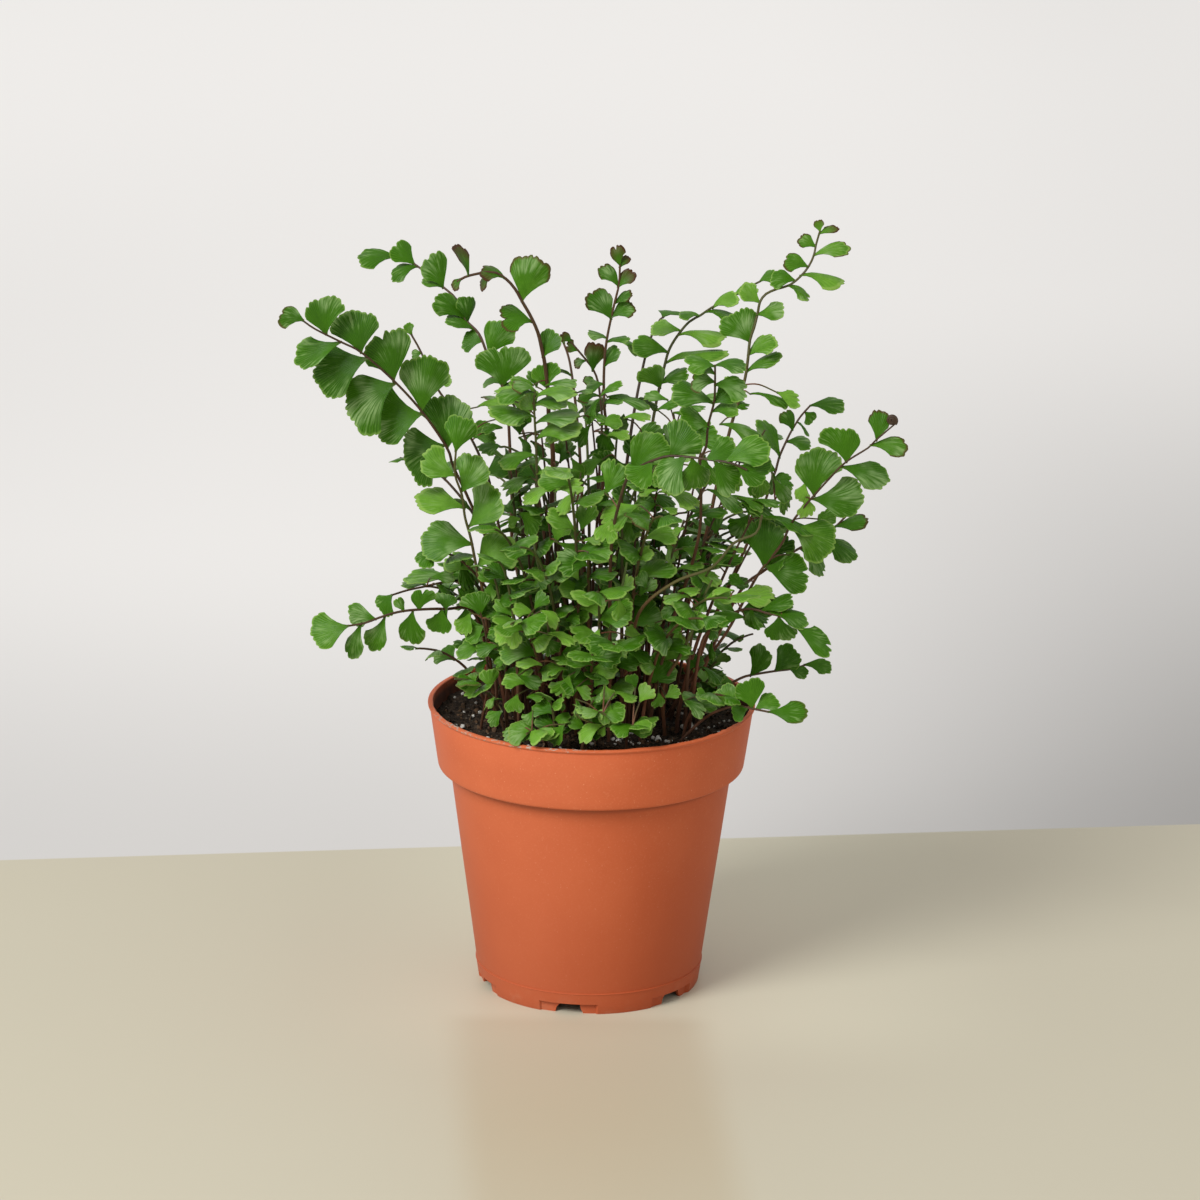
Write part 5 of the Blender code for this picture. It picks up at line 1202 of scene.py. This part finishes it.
def easedLobes(u, small):
    # the margin's lobes, eased from one to the next with half a cosine
    lobes = np.array(leaf["smallMargin"] if small else leaf["margin"])
    place = np.clip(np.searchsorted(lobes[:, 0], u, side="right") - 1, 0, len(lobes) - 2)
    ease = (u - lobes[place, 0]) / (lobes[place + 1, 0] - lobes[place, 0])
    return lobes[place, 1] + (lobes[place + 1, 1] - lobes[place, 1]) * (0.5 - 0.5 * np.cos(np.pi * ease))


def closedSheets(upper, lower):
    # two grids of points, one over the other, joined all round into one closed surface
    points = np.concatenate([upper, lower[:, ::-1]], axis=1)
    rows, width = points.shape[:2]
    across = np.arange(width // 2 - 1)
    ends = [np.stack([first + across, first + across + 1, first + width - 2 - across, first + width - 1 - across],
                     axis=-1) for first in (0, (rows - 1) * width)]
    return points, np.concatenate([gridFaces(rows, width, around=True), *ends])


def leafSheet(leaflet, attempt, number, tone, brown=0.0, detail=2):
    # fan r = s * (1 - 0.26|u|^3) * lobe(u) over the share s and the angle 42u degrees; it narrows towards its
    # root, sweeps aside with s^2, droops with r^2, cups with u^2, arches with s(1 - s) and waves; uneven teeth
    # cut the outermost row, and a cleft some leaflets; two sheets closed all round
    root, along, side, face, length, width = posed(leaflet, attempt)
    small = leaflet[3] < leaf["small"]
    cut = leafCut[detail]
    teeth = int(round(np.clip(width / mm * cut["perWidth"], *cut["teeth"])))
    u = np.linspace(-1.0, 1.0, teeth * cut["columns"] + 1)
    s = np.array(cut["smallRows"] if small else cut["rows"])[:, None]
    phase = 6.28 * jitter(number, "phase")
    outline = ((1.0 - leaf["shoulder"] * np.abs(u) ** 3.0)
               * (leaf["lobed"][0] + leaf["lobed"][1] * easedLobes(u, small))
               * (1.0 + leaf["skew"] * jitter(number, "skew") * u))
    deep, aside, narrow, rare = leaf["cleft"]
    cleft = deep * np.exp(-((u - aside * jitter(number, "cleftPlace")) / narrow) ** 2)
    cleft = cleft * (jitter(number, "cleft") > rare)
    mean, *swings = leaf["teeth"]
    tooth = (1.0 - np.abs(np.sin(np.pi * (u + 1) / 2 * teeth))) * ripples(u, phase, swings, mean)
    depth = cut["depth"] * (leaf["smallTeeth"] if small else 1.0)
    toothed = np.clip((s - leaf["toothed"][0]) / leaf["toothed"][1], 0.0, 1.0)
    reach = s * outline * (1.0 - (depth * tooth + cleft) * toothed)
    angle = leaf["fan"] * u + leaf["sweep"] * jitter(number, "sweep") * s ** 2
    x = length * reach * np.cos(angle)
    y = width * reach * np.sin(angle) * s ** leaf["waist"] + leaf["neckHalf"] * u * (1.0 - s) ** 3
    waves = [(size * s ** power, turns, shift)
             for size, power, turns, shift in (*leaf["waves"], (cut["crimp"], 4, np.pi * teeth, 1.0))]
    edgeOn = 1.0 - abs(face @ unit(eye["place"] - root))
    arch = leaf["arch"][0] + leaf["arch"][1] * edgeOn
    lift, middle = leaf["brownCurl"]
    rise = (-droopOf(number, length, reach)
            + leaf["cupSpread"] * jitter(number, "cup") * width * u ** 2 * s ** 2
            + length * ripples(u, phase, waves) + arch * length * 4 * s * (1 - s)
            + lift * brown * length * s ** 2 * (u ** 2 - middle))
    most, atRoot, lost = leaf["thick"]
    thick = most * (atRoot - lost * s)
    sheets = [root + along * x[..., None] + side * y[..., None] + face * (rise + half * thick)[..., None]
              for half in (0.5, -0.5)]
    points, faces = closedSheets(*sheets)
    spot = np.zeros(points.shape)
    spot[..., 0] = np.concatenate([u, u[::-1]])
    spot[..., 1] = s
    spot[:, len(u):, 2] = 1.0
    veins = max(leaf["fewestVeins"], width / mm * leaf["veinsPerWidth"])
    return surface(points, faces, spot=spot.reshape(-1, 3), tone=(tone, brown, veins), material=1)


def curledTip(end, run, radius):
    # flat spiral that carries the stem on, shrinking to a few hundredths of its radius over 2.3 turns
    inward = unit(np.cross(run, unit(end - eye["place"])))
    share = np.linspace(0.0, 1.0, curl["points"])
    turn = share * curl["turns"] * math.tau
    size = (radius - curl["inset"]) * mm * (1.0 - curl["shrink"] * share)
    hub = end + inward * (radius - curl["inset"]) * mm
    path = hub - inward * (size * np.cos(turn))[:, None] + run * (size * np.sin(turn))[:, None]
    part = tube(path, curl["thick"] * mm * (1.0 - curl["thinned"] * share), stem["sides"])
    part["spot"][:, 1] = 1.0
    return part


def stemPart(path, base, tip, green, redness):
    # radius eases from the base's to the tip's with the share of the length to the power 1.3
    share = np.linspace(0, 1, len(path))
    return tube(path, (base + (tip - base) * share ** stem["taper"]) * mm, stem["sides"],
                tone=(green, redness, 0.0))


def bestBend(base, points, thick, tip, drawn, cloud):
    # the bend whose line lies most nearly one radius from the solid's points: misfit, smooth path, solid's line
    fits = []
    for bow, drift in bends:
        path, line = stemLines(base, bent(points, bow * mm, drift * mm, drawn))
        share = np.arange(len(line)) / (len(line) - 1)
        radius = (thick + (tip - thick) * share ** stem["taper"]) * mm
        fits.append((np.abs(gapsTo(line, cloud) - radius).mean(), path, line))
    return min(fits, key=lambda fit: fit[0])


def bestTry(leaflet, number, cloud):
    # how many of the solid's points the best try's corners lie on, and that try
    fits = [(gapsTo(solidCorners(leaflet, attempt, number), cloud) < dress["near"]).sum() for attempt in tries]
    return max(fits), tries[int(np.argmax(fits))]


def brownOf(given, place, number):
    # how brown a leaflet is: the first few of some fronds are, or have a brown edge, and a rare one elsewhere
    if place < given.get("brownTip", 0):
        return dress["browned"]
    if place < given.get("edged", 0):
        return dress["edged"]
    return max(0.0, jitter(number, "brown") - dress["brownFrom"])


stemPaths = []


def makeFronds():
    # each frond is fitted to its own solid: the bend of its stem, then the try of each leaflet
    number, missing = 0, 0
    for order, given in enumerate(drawnFronds + ruledFronds):
        node = f"frond_{order + 1:02d}_{given['name']}"
        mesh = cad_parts[node].data
        cloud = np.empty(len(mesh.vertices) * 3)
        mesh.vertices.foreach_get("co", cloud)
        cloud = cloud.reshape(-1, 3)
        drawn, tip, bright = "route" in given, given.get("tip", stem["tip"]), given["tone"]
        if drawn:
            base, points, thick = given["base"], np.array(seenRoute(given["route"])), given["stem"]
        else:
            base, points = ruledRoute(given["at"])
            thick = stem["ruled"] + stem["perHeight"] * given["at"][3]
        misfit, path, line = bestBend(base, points, thick, tip, drawn, cloud)
        rows = [line, *(given[key] for key in ("leaflets", "leaf") if key in given)]
        leaflets = drawnLeaflets(*rows) if drawn else ruledLeaflets(*rows, number)
        stemPaths.append(path)
        slim = given.get("slim", dress["slim"])
        least, more, brightFrom = dress["green"]
        parts = [stemPart(path, thick * slim, tip * dress["slimTip"] * slim, least + more * (bright > brightFrom),
                          0.5 + 0.5 * jitter(order, "redness"))]
        for place, leaflet in enumerate(leaflets):
            fit, attempt = bestTry(leaflet, number, cloud)
            if fit < dress["fewest"] and not drawn and place == len(leaflets) - 1:
                leaflet = ruledLeaflets(*rows, number - place, endShare=0.0)[-1]
                fit, attempt = bestTry(leaflet, number, cloud)
            if fit < dress["fewest"]:
                missing += 1
            else:
                tone = bright + dress["toneSwing"] * jitter(number, "tone")
                parts.append(leafSheet(leaflet, attempt, number, tone, brownOf(given, place, number)))
            number += 1
        if "curl" in given:
            parts.append(curledTip(path[-1], unit(path[-1] - path[-2]), given["curl"]))
        makePiece("fern" + "".join(word.title() for word in given["name"].split("_")), parts,
                  [stemBrown, leafGreen], [node])
        if misfit > dress["loose"]:
            print("stem of", node, "is", round(misfit / mm, 2), "mm off its solid")
    print("fronds made:", order + 1, "with", number - missing, "leaflets,", missing, "left out as in the solids")


makeFronds()


# more growth, in the scene alone: thin fronds by rule, bare stems, and leaflets drawn from the front

# each row holds how many, the ranges of base radius, reach and height in mm, leaflets, leaf length and tone
thicket = [
    dict(name="innerThicket", count=18, base=(4, 24), reach=(18, 48), height=(52, 100), leaflets=8,
         leaf=(9.5, 12.5), tone=0.44, start=0.30, turn=11.0),
    dict(name="outerThicket", count=18, base=(22, 36), reach=(42, 58), height=(34, 74), leaflets=7,
         leaf=(9.0, 12.0), tone=0.46, start=0.28, turn=47.0),
    dict(name="lowThicket", count=30, base=(24, 40), reach=(32, 47), height=(9, 26), leaflets=6,
         leaf=(7.0, 9.5), tone=0.50, start=0.22, turn=83.0, clear=((170, 252), (282, 334))),
]
# base in mm, and top as across, down in the view and depth in mm
bareStems = [
    ((-24, -8), (505, 545, -14)), ((-20, 2), (516, 470, -4)), ((-17, -10), (527, 520, -16)),
    ((-12, -2), (534, 455, 0)), ((-9, -13), (546, 505, -18)), ((-6, 0), (541, 430, 4)),
    ((-4, -9), (558, 520, -16)), ((-1, -3), (566, 440, 2)), ((2, -12), (577, 500, -16)),
    ((4, -1), (592, 420, 2)), ((7, -9), (601, 535, -18)), ((9, 1), (613, 455, 0)), ((12, -13), (636, 520, -18)),
    ((14, -4), (641, 430, 2)), ((16, -8), (655, 500, -12)), ((18, 2), (676, 430, 0)),
    ((20, -14), (684, 520, -18)), ((22, -3), (703, 440, -2)), ((24, -9), (720, 505, -12)),
    ((26, 0), (742, 455, 0)), ((28, -12), (751, 520, -14)), ((24, 5), (765, 430, 2)),
    ((30, -5), (775, 500, -8)), ((-14, 6), (552, 560, 4)), ((3, 8), (600, 575, 6)),
    ((-28, -3), (470, 590, -10)),
]
# across, down, direction in degrees, length, width, turn from the eye in degrees, depth in mm, tone, which is
# partly the leaflet's own green and partly painted light and shade
middleLeaflets = [
    (494, 404, 10, 32, 26, 62, -8, .75), (522, 407, 330, 26, 22, 50, -12, .80),
    (514, 418, 0, 26, 20, 60, -4, .40), (518, 424, 100, 20, 22, 10, 0, .40),
    (491, 427, 175, 22, 18, 55, -6, .55), (504, 390, 185, 24, 16, 62, -12, .75),
    (521, 381, 160, 26, 22, 55, -8, .60), (535, 378, 100, 18, 16, 20, 10, .35),
    (517, 398, 0, 20, 20, 50, 4, .30), (562, 385, 5, 34, 20, 64, -8, .55),
    (559, 390, 355, 22, 18, 62, -10, .75), (565, 397, 20, 14, 12, 55, -4, .45),
    (549, 405, 5, 28, 18, 66, -8, .70), (572, 407, 320, 18, 14, 45, -8, .75), (586, 392, 5, 16, 12, 65, 0, .50),
    (591, 410, 230, 30, 18, 55, -6, .50), (599, 417, 355, 24, 16, 60, -2, .50),
    (560, 426, 205, 44, 26, 58, -12, .65), (565, 430, 0, 22, 16, 30, 8, .30),
    (564, 448, 100, 20, 20, 10, 4, .55), (540, 449, 320, 24, 18, 50, 6, .40),
    (526, 446, 310, 22, 14, 45, -2, .50), (550, 462, 345, 22, 12, 65, 2, .35),
    (560, 471, 175, 42, 22, 62, -12, .55), (516, 483, 200, 32, 24, 55, -18, .60),
    (537, 492, 190, 36, 26, 55, -24, .90), (569, 486, 20, 32, 26, 55, -24, .85),
    (599, 479, 5, 26, 14, 64, -10, .50), (591, 464, 200, 24, 22, 45, -8, .65),
    (599, 452, 5, 16, 12, 40, 0, .30), (614, 435, 10, 14, 12, 30, -8, .70),
    (565, 503, 225, 30, 20, 45, -24, .80), (586, 517, 70, 28, 24, 15, -22, .60),
    (610, 523, 200, 24, 24, 40, -26, .80), (531, 520, 330, 28, 28, 25, -22, .50),
    (513, 520, 190, 14, 14, 20, -24, .75), (532, 508, 0, 30, 18, 66, -20, .55),
    (558, 531, 80, 22, 20, 15, -22, .60), (574, 532, 330, 22, 18, 50, -22, .60),
    (593, 540, 5, 18, 16, 60, -28, .90), (574, 552, 330, 36, 28, 45, -26, .55),
    (605, 556, 0, 26, 18, 60, -30, .85), (540, 547, 5, 12, 10, 55, -10, .40),
    (471, 563, 100, 10, 9, 20, -20, .70), (647, 441, 30, 45, 40, 15, 6, .35),
    (629, 401, 350, 44, 24, 58, 0, .40), (638, 416, 10, 28, 18, 58, -8, .75),
    (619, 434, 10, 24, 16, 50, -10, .80), (669, 406, 20, 24, 16, 55, -2, .45),
    (694, 407, 10, 26, 14, 62, 0, .45), (689, 417, 345, 32, 20, 55, -6, .50),
    (744, 431, 345, 50, 30, 58, -10, .60), (772, 398, 350, 44, 14, 62, 0, .45),
    (789, 398, 335, 26, 20, 30, -4, .75), (757, 452, 345, 34, 20, 58, 0, .35),
    (762, 485, 290, 28, 20, 20, -14, .65), (781, 492, 300, 30, 18, 35, -12, .55),
    (647, 491, 180, 20, 14, 60, -20, .85), (682, 496, 350, 46, 30, 56, -22, .75),
    (727, 499, 335, 44, 26, 50, -22, .50), (752, 502, 345, 30, 16, 50, -20, .55),
    (768, 503, 350, 30, 16, 58, -18, .50), (750, 509, 335, 26, 12, 58, -18, .50),
    (624, 512, 10, 44, 30, 55, -20, .60), (612, 503, 15, 36, 20, 62, -16, .40),
    (671, 509, 0, 16, 12, 55, -22, .80), (708, 514, 15, 40, 24, 60, -14, .40),
    (715, 523, 95, 22, 20, 15, -8, .50), (742, 527, 240, 30, 28, 20, -6, .30),
    (773, 522, 350, 34, 22, 58, -10, .45), (634, 526, 340, 24, 20, 50, -18, .35),
    (657, 532, 160, 24, 26, 30, -20, .30), (677, 530, 190, 14, 12, 40, -24, .80),
    (659, 562, 100, 24, 16, 20, -14, .30), (692, 552, 340, 20, 16, 35, -16, .60),
    (712, 549, 3, 28, 14, 68, -20, .55), (610, 541, 350, 22, 18, 50, -24, .60),
    (634, 535, 10, 18, 12, 55, -22, .85), (739, 549, 5, 12, 8, 40, -14, .70),
    (614, 401, 15, 20, 14, 40, -2, .50), (611, 388, 40, 26, 14, 50, -4, .60),
    (443, 576, 10, 26, 14, 30, -16, .50), (464, 577, 280, 32, 18, 25, -14, .30),
    (448, 594, 320, 28, 16, 35, -16, .45), (466, 596, 120, 24, 20, 30, -18, .50),
    (483, 608, 270, 24, 14, 20, -24, .55), (504, 588, 100, 26, 18, 25, -20, .45),
    (489, 592, 250, 22, 16, 30, -22, .60), (441, 620, 240, 26, 22, 25, -18, .35),
    (466, 625, 250, 26, 22, 20, -24, .65), (500, 615, 25, 22, 14, 40, -28, .50),
    (486, 648, 190, 24, 18, 30, -30, .35), (501, 662, 220, 18, 12, 40, -32, .50),
    (499, 629, 175, 24, 16, 40, -30, .50), (704, 575, 350, 42, 26, 62, -20, .70),
    (755, 598, 355, 44, 34, 45, -20, .95), (755, 616, 340, 34, 22, 35, -14, .40),
    (786, 603, 345, 20, 14, 30, -8, .50), (711, 652, 265, 20, 9, 30, -14, .50),
    (713, 674, 330, 28, 16, 55, -14, .30), (776, 560, 200, 30, 24, 40, -10, .55),
    (645, 580, 60, 26, 18, 30, -20, .30), (753, 452, 350, 34, 18, 45, 4, .22),
    (750, 470, 12, 34, 26, 35, -8, .55), (758, 486, 290, 28, 22, 20, -10, .62),
    (734, 482, 275, 28, 26, 18, -14, .72), (752, 504, 345, 58, 26, 62, -18, .55),
    (775, 484, 285, 24, 16, 20, 0, .35), (785, 500, 275, 28, 16, 40, -6, .60),
    (802, 493, 250, 22, 18, 18, -16, .92), (808, 508, 280, 22, 20, 15, -18, .98),
    (828, 519, 0, 20, 18, 30, -6, .60), (743, 529, 235, 30, 28, 12, -2, .20),
    (768, 546, 80, 38, 40, 12, 2, .20), (790, 523, 350, 56, 26, 64, -20, .42),
    (738, 582, 10, 24, 16, 40, -8, .25), (702, 470, 260, 30, 30, 12, -24, .50),
    (668, 478, 235, 34, 34, 12, -24, .62), (700, 434, 40, 36, 34, 15, -6, .50),
    (676, 440, 60, 32, 32, 12, 4, .25), (726, 446, 25, 22, 22, 15, -26, .70),
    (640, 450, 80, 34, 36, 12, 2, .30), (622, 470, 300, 24, 20, 25, -6, .45),
    (645, 508, 200, 24, 22, 25, -14, .50), (626, 530, 240, 22, 22, 20, -22, .62),
    (658, 540, 60, 22, 22, 20, -10, .20), (722, 560, 200, 26, 16, 50, -18, .60),
    (690, 566, 20, 30, 16, 60, -22, .70), (672, 552, 300, 22, 18, 35, -16, .65),
    (735, 404, 345, 34, 16, 55, 6, .40), (712, 396, 15, 22, 14, 50, 2, .55),
    (655, 398, 170, 26, 18, 50, 4, .45), (614, 478, 60, 36, 30, 15, -30, .55),
    (619, 513, 200, 44, 34, 35, -36, .66), (606, 531, 240, 26, 26, 15, -38, .72),
    (604, 441, 250, 26, 22, 20, 0, .30), (611, 421, 20, 24, 20, 40, -6, .55),
    (607, 461, 100, 26, 24, 15, -2, .30), (661, 521, 200, 26, 24, 25, -8, .25),
    (684, 545, 60, 24, 22, 25, -6, .25), (700, 562, 240, 26, 20, 35, -6, .35),
    (640, 562, 200, 26, 22, 30, -10, .30), (729, 560, 20, 28, 20, 40, -8, .45),
    (664, 500, 340, 30, 22, 45, -10, .45), (726, 472, 250, 26, 24, 20, -4, .35),
    (757, 521, 30, 24, 22, 20, 2, .25), (646, 585, 60, 24, 20, 25, -28, .50),
    (583, 437, 240, 26, 22, 30, -4, .40), (566, 452, 60, 24, 20, 25, 2, .30),
    (548, 478, 230, 26, 20, 35, -8, .45), (530, 468, 20, 24, 20, 40, -4, .35),
    (600, 500, 90, 24, 22, 20, -8, .30), (578, 470, 300, 26, 20, 30, -14, .60),
]
frontLeaflets = [
    (471, 687, 190, 20, 18, 15, -30, .70), (489, 678, 95, 20, 22, 15, -31, .60),
    (514, 704, 250, 20, 21, 10, -38, .60), (514, 680, 160, 24, 20, 35, -37, .70),
    (528, 664, 175, 28, 24, 58, -38, .85), (530, 682, 330, 26, 18, 35, -40, .35),
    (536, 696, 10, 18, 14, 45, -41, .55), (566, 688, 255, 26, 27, 10, -42, .65),
    (573, 671, 85, 22, 17, 30, -40, .45), (560, 705, 265, 15, 14, 20, -43, .40),
    (584, 692, 330, 18, 16, 25, -43, .75), (579, 710, 285, 22, 13, 35, -44, .60),
    (599, 679, 60, 17, 17, 10, -42, .50), (606, 693, 280, 16, 17, 25, -44, .80),
    (627, 695, 350, 25, 14, 55, -44, .70), (608, 715, 260, 22, 22, 10, -45, .60),
    (589, 730, 200, 30, 22, 35, -47, .90), (557, 735, 235, 26, 22, 25, -47, .50),
    (511, 731, 200, 22, 16, 30, -42, .55), (494, 717, 215, 20, 18, 20, -38, .55),
    (530, 719, 250, 17, 16, 30, -43, .45), (534, 733, 190, 22, 12, 50, -46, .55),
    (490, 703, 230, 14, 10, 30, -35, .60), (509, 634, 235, 30, 30, 15, -36, .85),
    (532, 630, 280, 22, 20, 10, -37, .35), (551, 617, 330, 24, 22, 50, -38, .90),
    (523, 609, 150, 24, 20, 45, -36, .80), (540, 600, 60, 20, 18, 25, -34, .45),
    (564, 637, 350, 32, 22, 58, -42, .95), (550, 647, 290, 22, 22, 15, -38, .35),
    (573, 619, 10, 16, 14, 35, -38, .50), (596, 638, 250, 18, 18, 20, -42, .75),
    (572, 569, 120, 24, 24, 15, -30, .85), (606, 555, 355, 26, 18, 62, -30, .80),
    (628, 585, 70, 22, 14, 35, -34, .85), (621, 611, 280, 22, 18, 30, -40, .65),
    (567, 659, 180, 30, 16, 58, -42, .60), (556, 670, 185, 22, 12, 60, -42, .65),
    (642, 554, 40, 24, 18, 30, -28, .75), (634, 680, 100, 15, 14, 10, -40, .50),
    (645, 693, 60, 20, 21, 15, -44, .95), (660, 701, 280, 16, 15, 15, -42, .60),
    (673, 693, 30, 17, 16, 20, -42, .70), (696, 707, 330, 26, 18, 35, -38, .35),
    (702, 695, 140, 15, 14, 30, -34, .60), (641, 655, 345, 27, 18, 40, -42, .35),
    (632, 634, 170, 18, 16, 20, -42, .90), (632, 645, 260, 13, 13, 15, -43, .70),
    (647, 632, 80, 16, 12, 25, -40, .60), (659, 632, 290, 20, 16, 20, -38, .40),
    (674, 628, 20, 16, 16, 15, -34, .30), (702, 619, 350, 16, 14, 30, -36, .75),
    (675, 597, 180, 28, 20, 58, -34, .70), (690, 590, 10, 24, 18, 60, -34, .75),
    (722, 592, 185, 24, 16, 60, -32, .95), (728, 615, 170, 34, 24, 45, -30, .45),
    (701, 604, 230, 18, 18, 15, -32, .20), (643, 580, 110, 18, 16, 20, -30, .35),
    (668, 611, 200, 18, 16, 30, -34, .35), (736, 581, 160, 19, 16, 35, -20, .35),
    (718, 626, 175, 20, 12, 50, -28, .55), (714, 634, 300, 15, 13, 30, -28, .45),
    (603, 732, 250, 12, 10, 20, -46, .85),
]
# base in mm, radii in mm at the foot and the tip, green, and the route as across, down and depth in mm
paleStems = [
    dict(base=(-5, -20), radii=(0.60, 0.38), green=0.7, route=[
        (577, 690, -26), (584, 672, -29), (604, 641, -33), (616, 612, -35), (622, 587, -35), (627, 562, -33)]),
    dict(base=(24, -18), radii=(0.66, 0.40), green=0.5, route=[
        (663, 688, -24), (680, 656, -27), (692, 631, -29), (700, 605, -30), (712, 580, -30)]),
    dict(base=(8, -14), radii=(0.62, 0.40), green=0.38, route=[
        (632, 640, -30), (643, 607, -35), (675, 582, -38), (712, 567, -40), (734, 543, -41), (756, 533, -42),
        (762, 515, -42)]),
    dict(base=(-17, -16), radii=(0.55, 0.36), green=0.5, route=[
        (542, 690, -24), (548, 640, -27), (546, 600, -26), (537, 560, -23), (531, 530, -20)]),
]
growth = dict(
    bareFoot=0.62, bareTip=0.30, bareShares=(-0.02, 0.10, 0.35, 0.6, 0.82, 1.0), barePower=1.5,
    bareBow=1.6 * mm, bareSpread=0.25,
    bareGreen=(0.08, 0.2, 0.4),           # least, what some have more, and the draw from which they have it
    bareStart=3,                          # leaflets take no stem below this point of its path
    stalk=0.26, stalkSample=1.5 * mm, stalkSides=5, stalkTone=(0.30, 0.5, 0.0),
    stalkBend=(0.45, 0.10),               # how far along the stalk it bends, and up by how much of its reach
    depthWeight=0.55, lowWeight=2.0, towardsStem=0.4, toneSwing=0.05,
    lean=4,                               # mm that a thicket frond reaches out past its base at the least
    thick=(0.86, 0.8, 0.36),              # shares of the ruled stem's two measures, and the tip in mm
    green=(0.10, 0.35), thicketSwing=0.22,
    # painted shade for the leaflets behind the plant's axis
    shaded=0.12,                          # what the tone loses behind the plant's axis
    brownFrom=0.86
)


def makeThicket(item, number):
    # fronds a golden angle apart, with their base, reach and height spread evenly over their ranges
    parts = []
    byRule, perHeight, tip = growth["thick"]
    for order in range(item["count"]):
        azimuth = (item["turn"] + order * 360.0 * golden) % 360.0
        if any(low < azimuth < high for low, high in item.get("clear", ())):
            continue
        spread = {key: 0.5 + 0.5 * jitter(order * 3 + 1, key) for key in ("base", "reach", "height", "leaf")}
        base, reach, height, longest = (item[key][0] + (item[key][1] - item[key][0]) * share
                                        for key, share in spread.items())
        foot, points = ruledRoute((azimuth, base, max(reach, base + growth["lean"]), height))
        path, line = stemLines(foot, points)
        thick = stem["ruled"] * byRule + stem["perHeight"] * perHeight * height
        green = growth["green"][0] + growth["green"][1] * spread["height"]
        parts.append(stemPart(path, thick, tip, green, spread["reach"]))
        for leaflet in ruledLeaflets(line, item["leaflets"], longest, number, item["start"]):
            tone = item["tone"] + growth["thicketSwing"] * jitter(number, "tone")
            # painted shade: leaflets behind the plant's axis are made darker
            tone = tone - growth["shaded"] * (leaflet[0][1] > 0)
            brown = max(0.0, jitter(number, "brown") - growth["brownFrom"])
            parts.append(leafSheet(leaflet, tries[0], number, tone, brown, 0))
            number += 1
    makePiece(item["name"], parts, [stemBrown, leafGreen])
    return number


def makeBareStems():
    # each leans from its foot to its top with the share of its height to the power 1.5
    parts = []
    share = np.array(growth["bareShares"])
    lean = np.clip(share, 0.0, 1.0)[:, None] ** growth["barePower"]
    least, more, greenFrom = growth["bareGreen"]
    for order, (base, top) in enumerate(bareStems):
        foot, top = onMound(*base), seenRoute([top])[0]
        knots = foot + (top - foot) * np.concatenate([lean, lean, share[:, None]], axis=1)
        knots[1:-1, 0] += growth["bareBow"] * jitter(order, "bareBow")
        path = smoothPath(knots)
        stemPaths.append(path[growth["bareStart"]:])
        radius = growth["bareFoot"] * (1 + growth["bareSpread"] * jitter(order, "bareRadius"))
        green = least + more * (jitter(order, "bareGreen") > greenFrom)
        redness = 0.55 + 0.45 * jitter(order, "bareRed")
        parts.append(stemPart(path, radius, growth["bareTip"], green, redness))
    for given in paleStems:
        path = smoothPath([onMound(*given["base"]), *seenRoute(given["route"])])
        parts.append(stemPart(path, *given["radii"], given["green"], 1.0))
    makePiece("bareStems", parts, [stemBrown])


def makeGrowth(name, rows, number):
    # each leaflet takes the stem nearest in the view and in depth, on a thin stalk that bends out to it
    parts = []
    cloud = np.concatenate(stemPaths)
    out, lift = growth["stalkBend"]
    for across, down, direction, length, width, turn, depth, tone in rows:
        lean = math.radians(direction)
        right, low = math.cos(lean) * length / 2, -math.sin(lean) * length / 2
        wanted = seenAt(across - right, down - low, depth * mm)
        below = np.maximum(cloud[:, 2] - wanted[2], 0.0) * growth["lowWeight"]
        gap = (cloud - wanted) * (1.0, growth["depthWeight"], 1.0)
        near = cloud[(np.linalg.norm(gap, axis=1) + below).argmin()]
        share = growth["towardsStem"]
        root = seenAt(across - right, down - low, wanted[1] * (1 - share) + near[1] * share)
        tip, along, face = facing(root, across + right, down + low, turn)
        reach = root - near
        knots = np.array([near, near + reach * out + overhead * np.linalg.norm(reach) * lift, root])
        parts.append(tube(smoothPath(knots, growth["stalkSample"]), growth["stalk"] * mm, growth["stalkSides"],
                          tone=growth["stalkTone"]))
        leaflet = (root - along * leaf["sink"], along, face, np.linalg.norm(tip - root), width * unitSize(root))
        parts.append(leafSheet(leaflet, tries[0], number, tone + growth["toneSwing"] * jitter(number, "tone"),
                               detail=1))
        number += 1
    makePiece(name, parts, [stemBrown, leafGreen])
    return number


leafNumber = 400
for item in thicket:
    leafNumber = makeThicket(item, leafNumber)
makeBareStems()
leafNumber = makeGrowth("middleGrowth", middleLeaflets, leafNumber)
makeGrowth("frontGrowth", frontLeaflets, leafNumber)
print("thicket made")
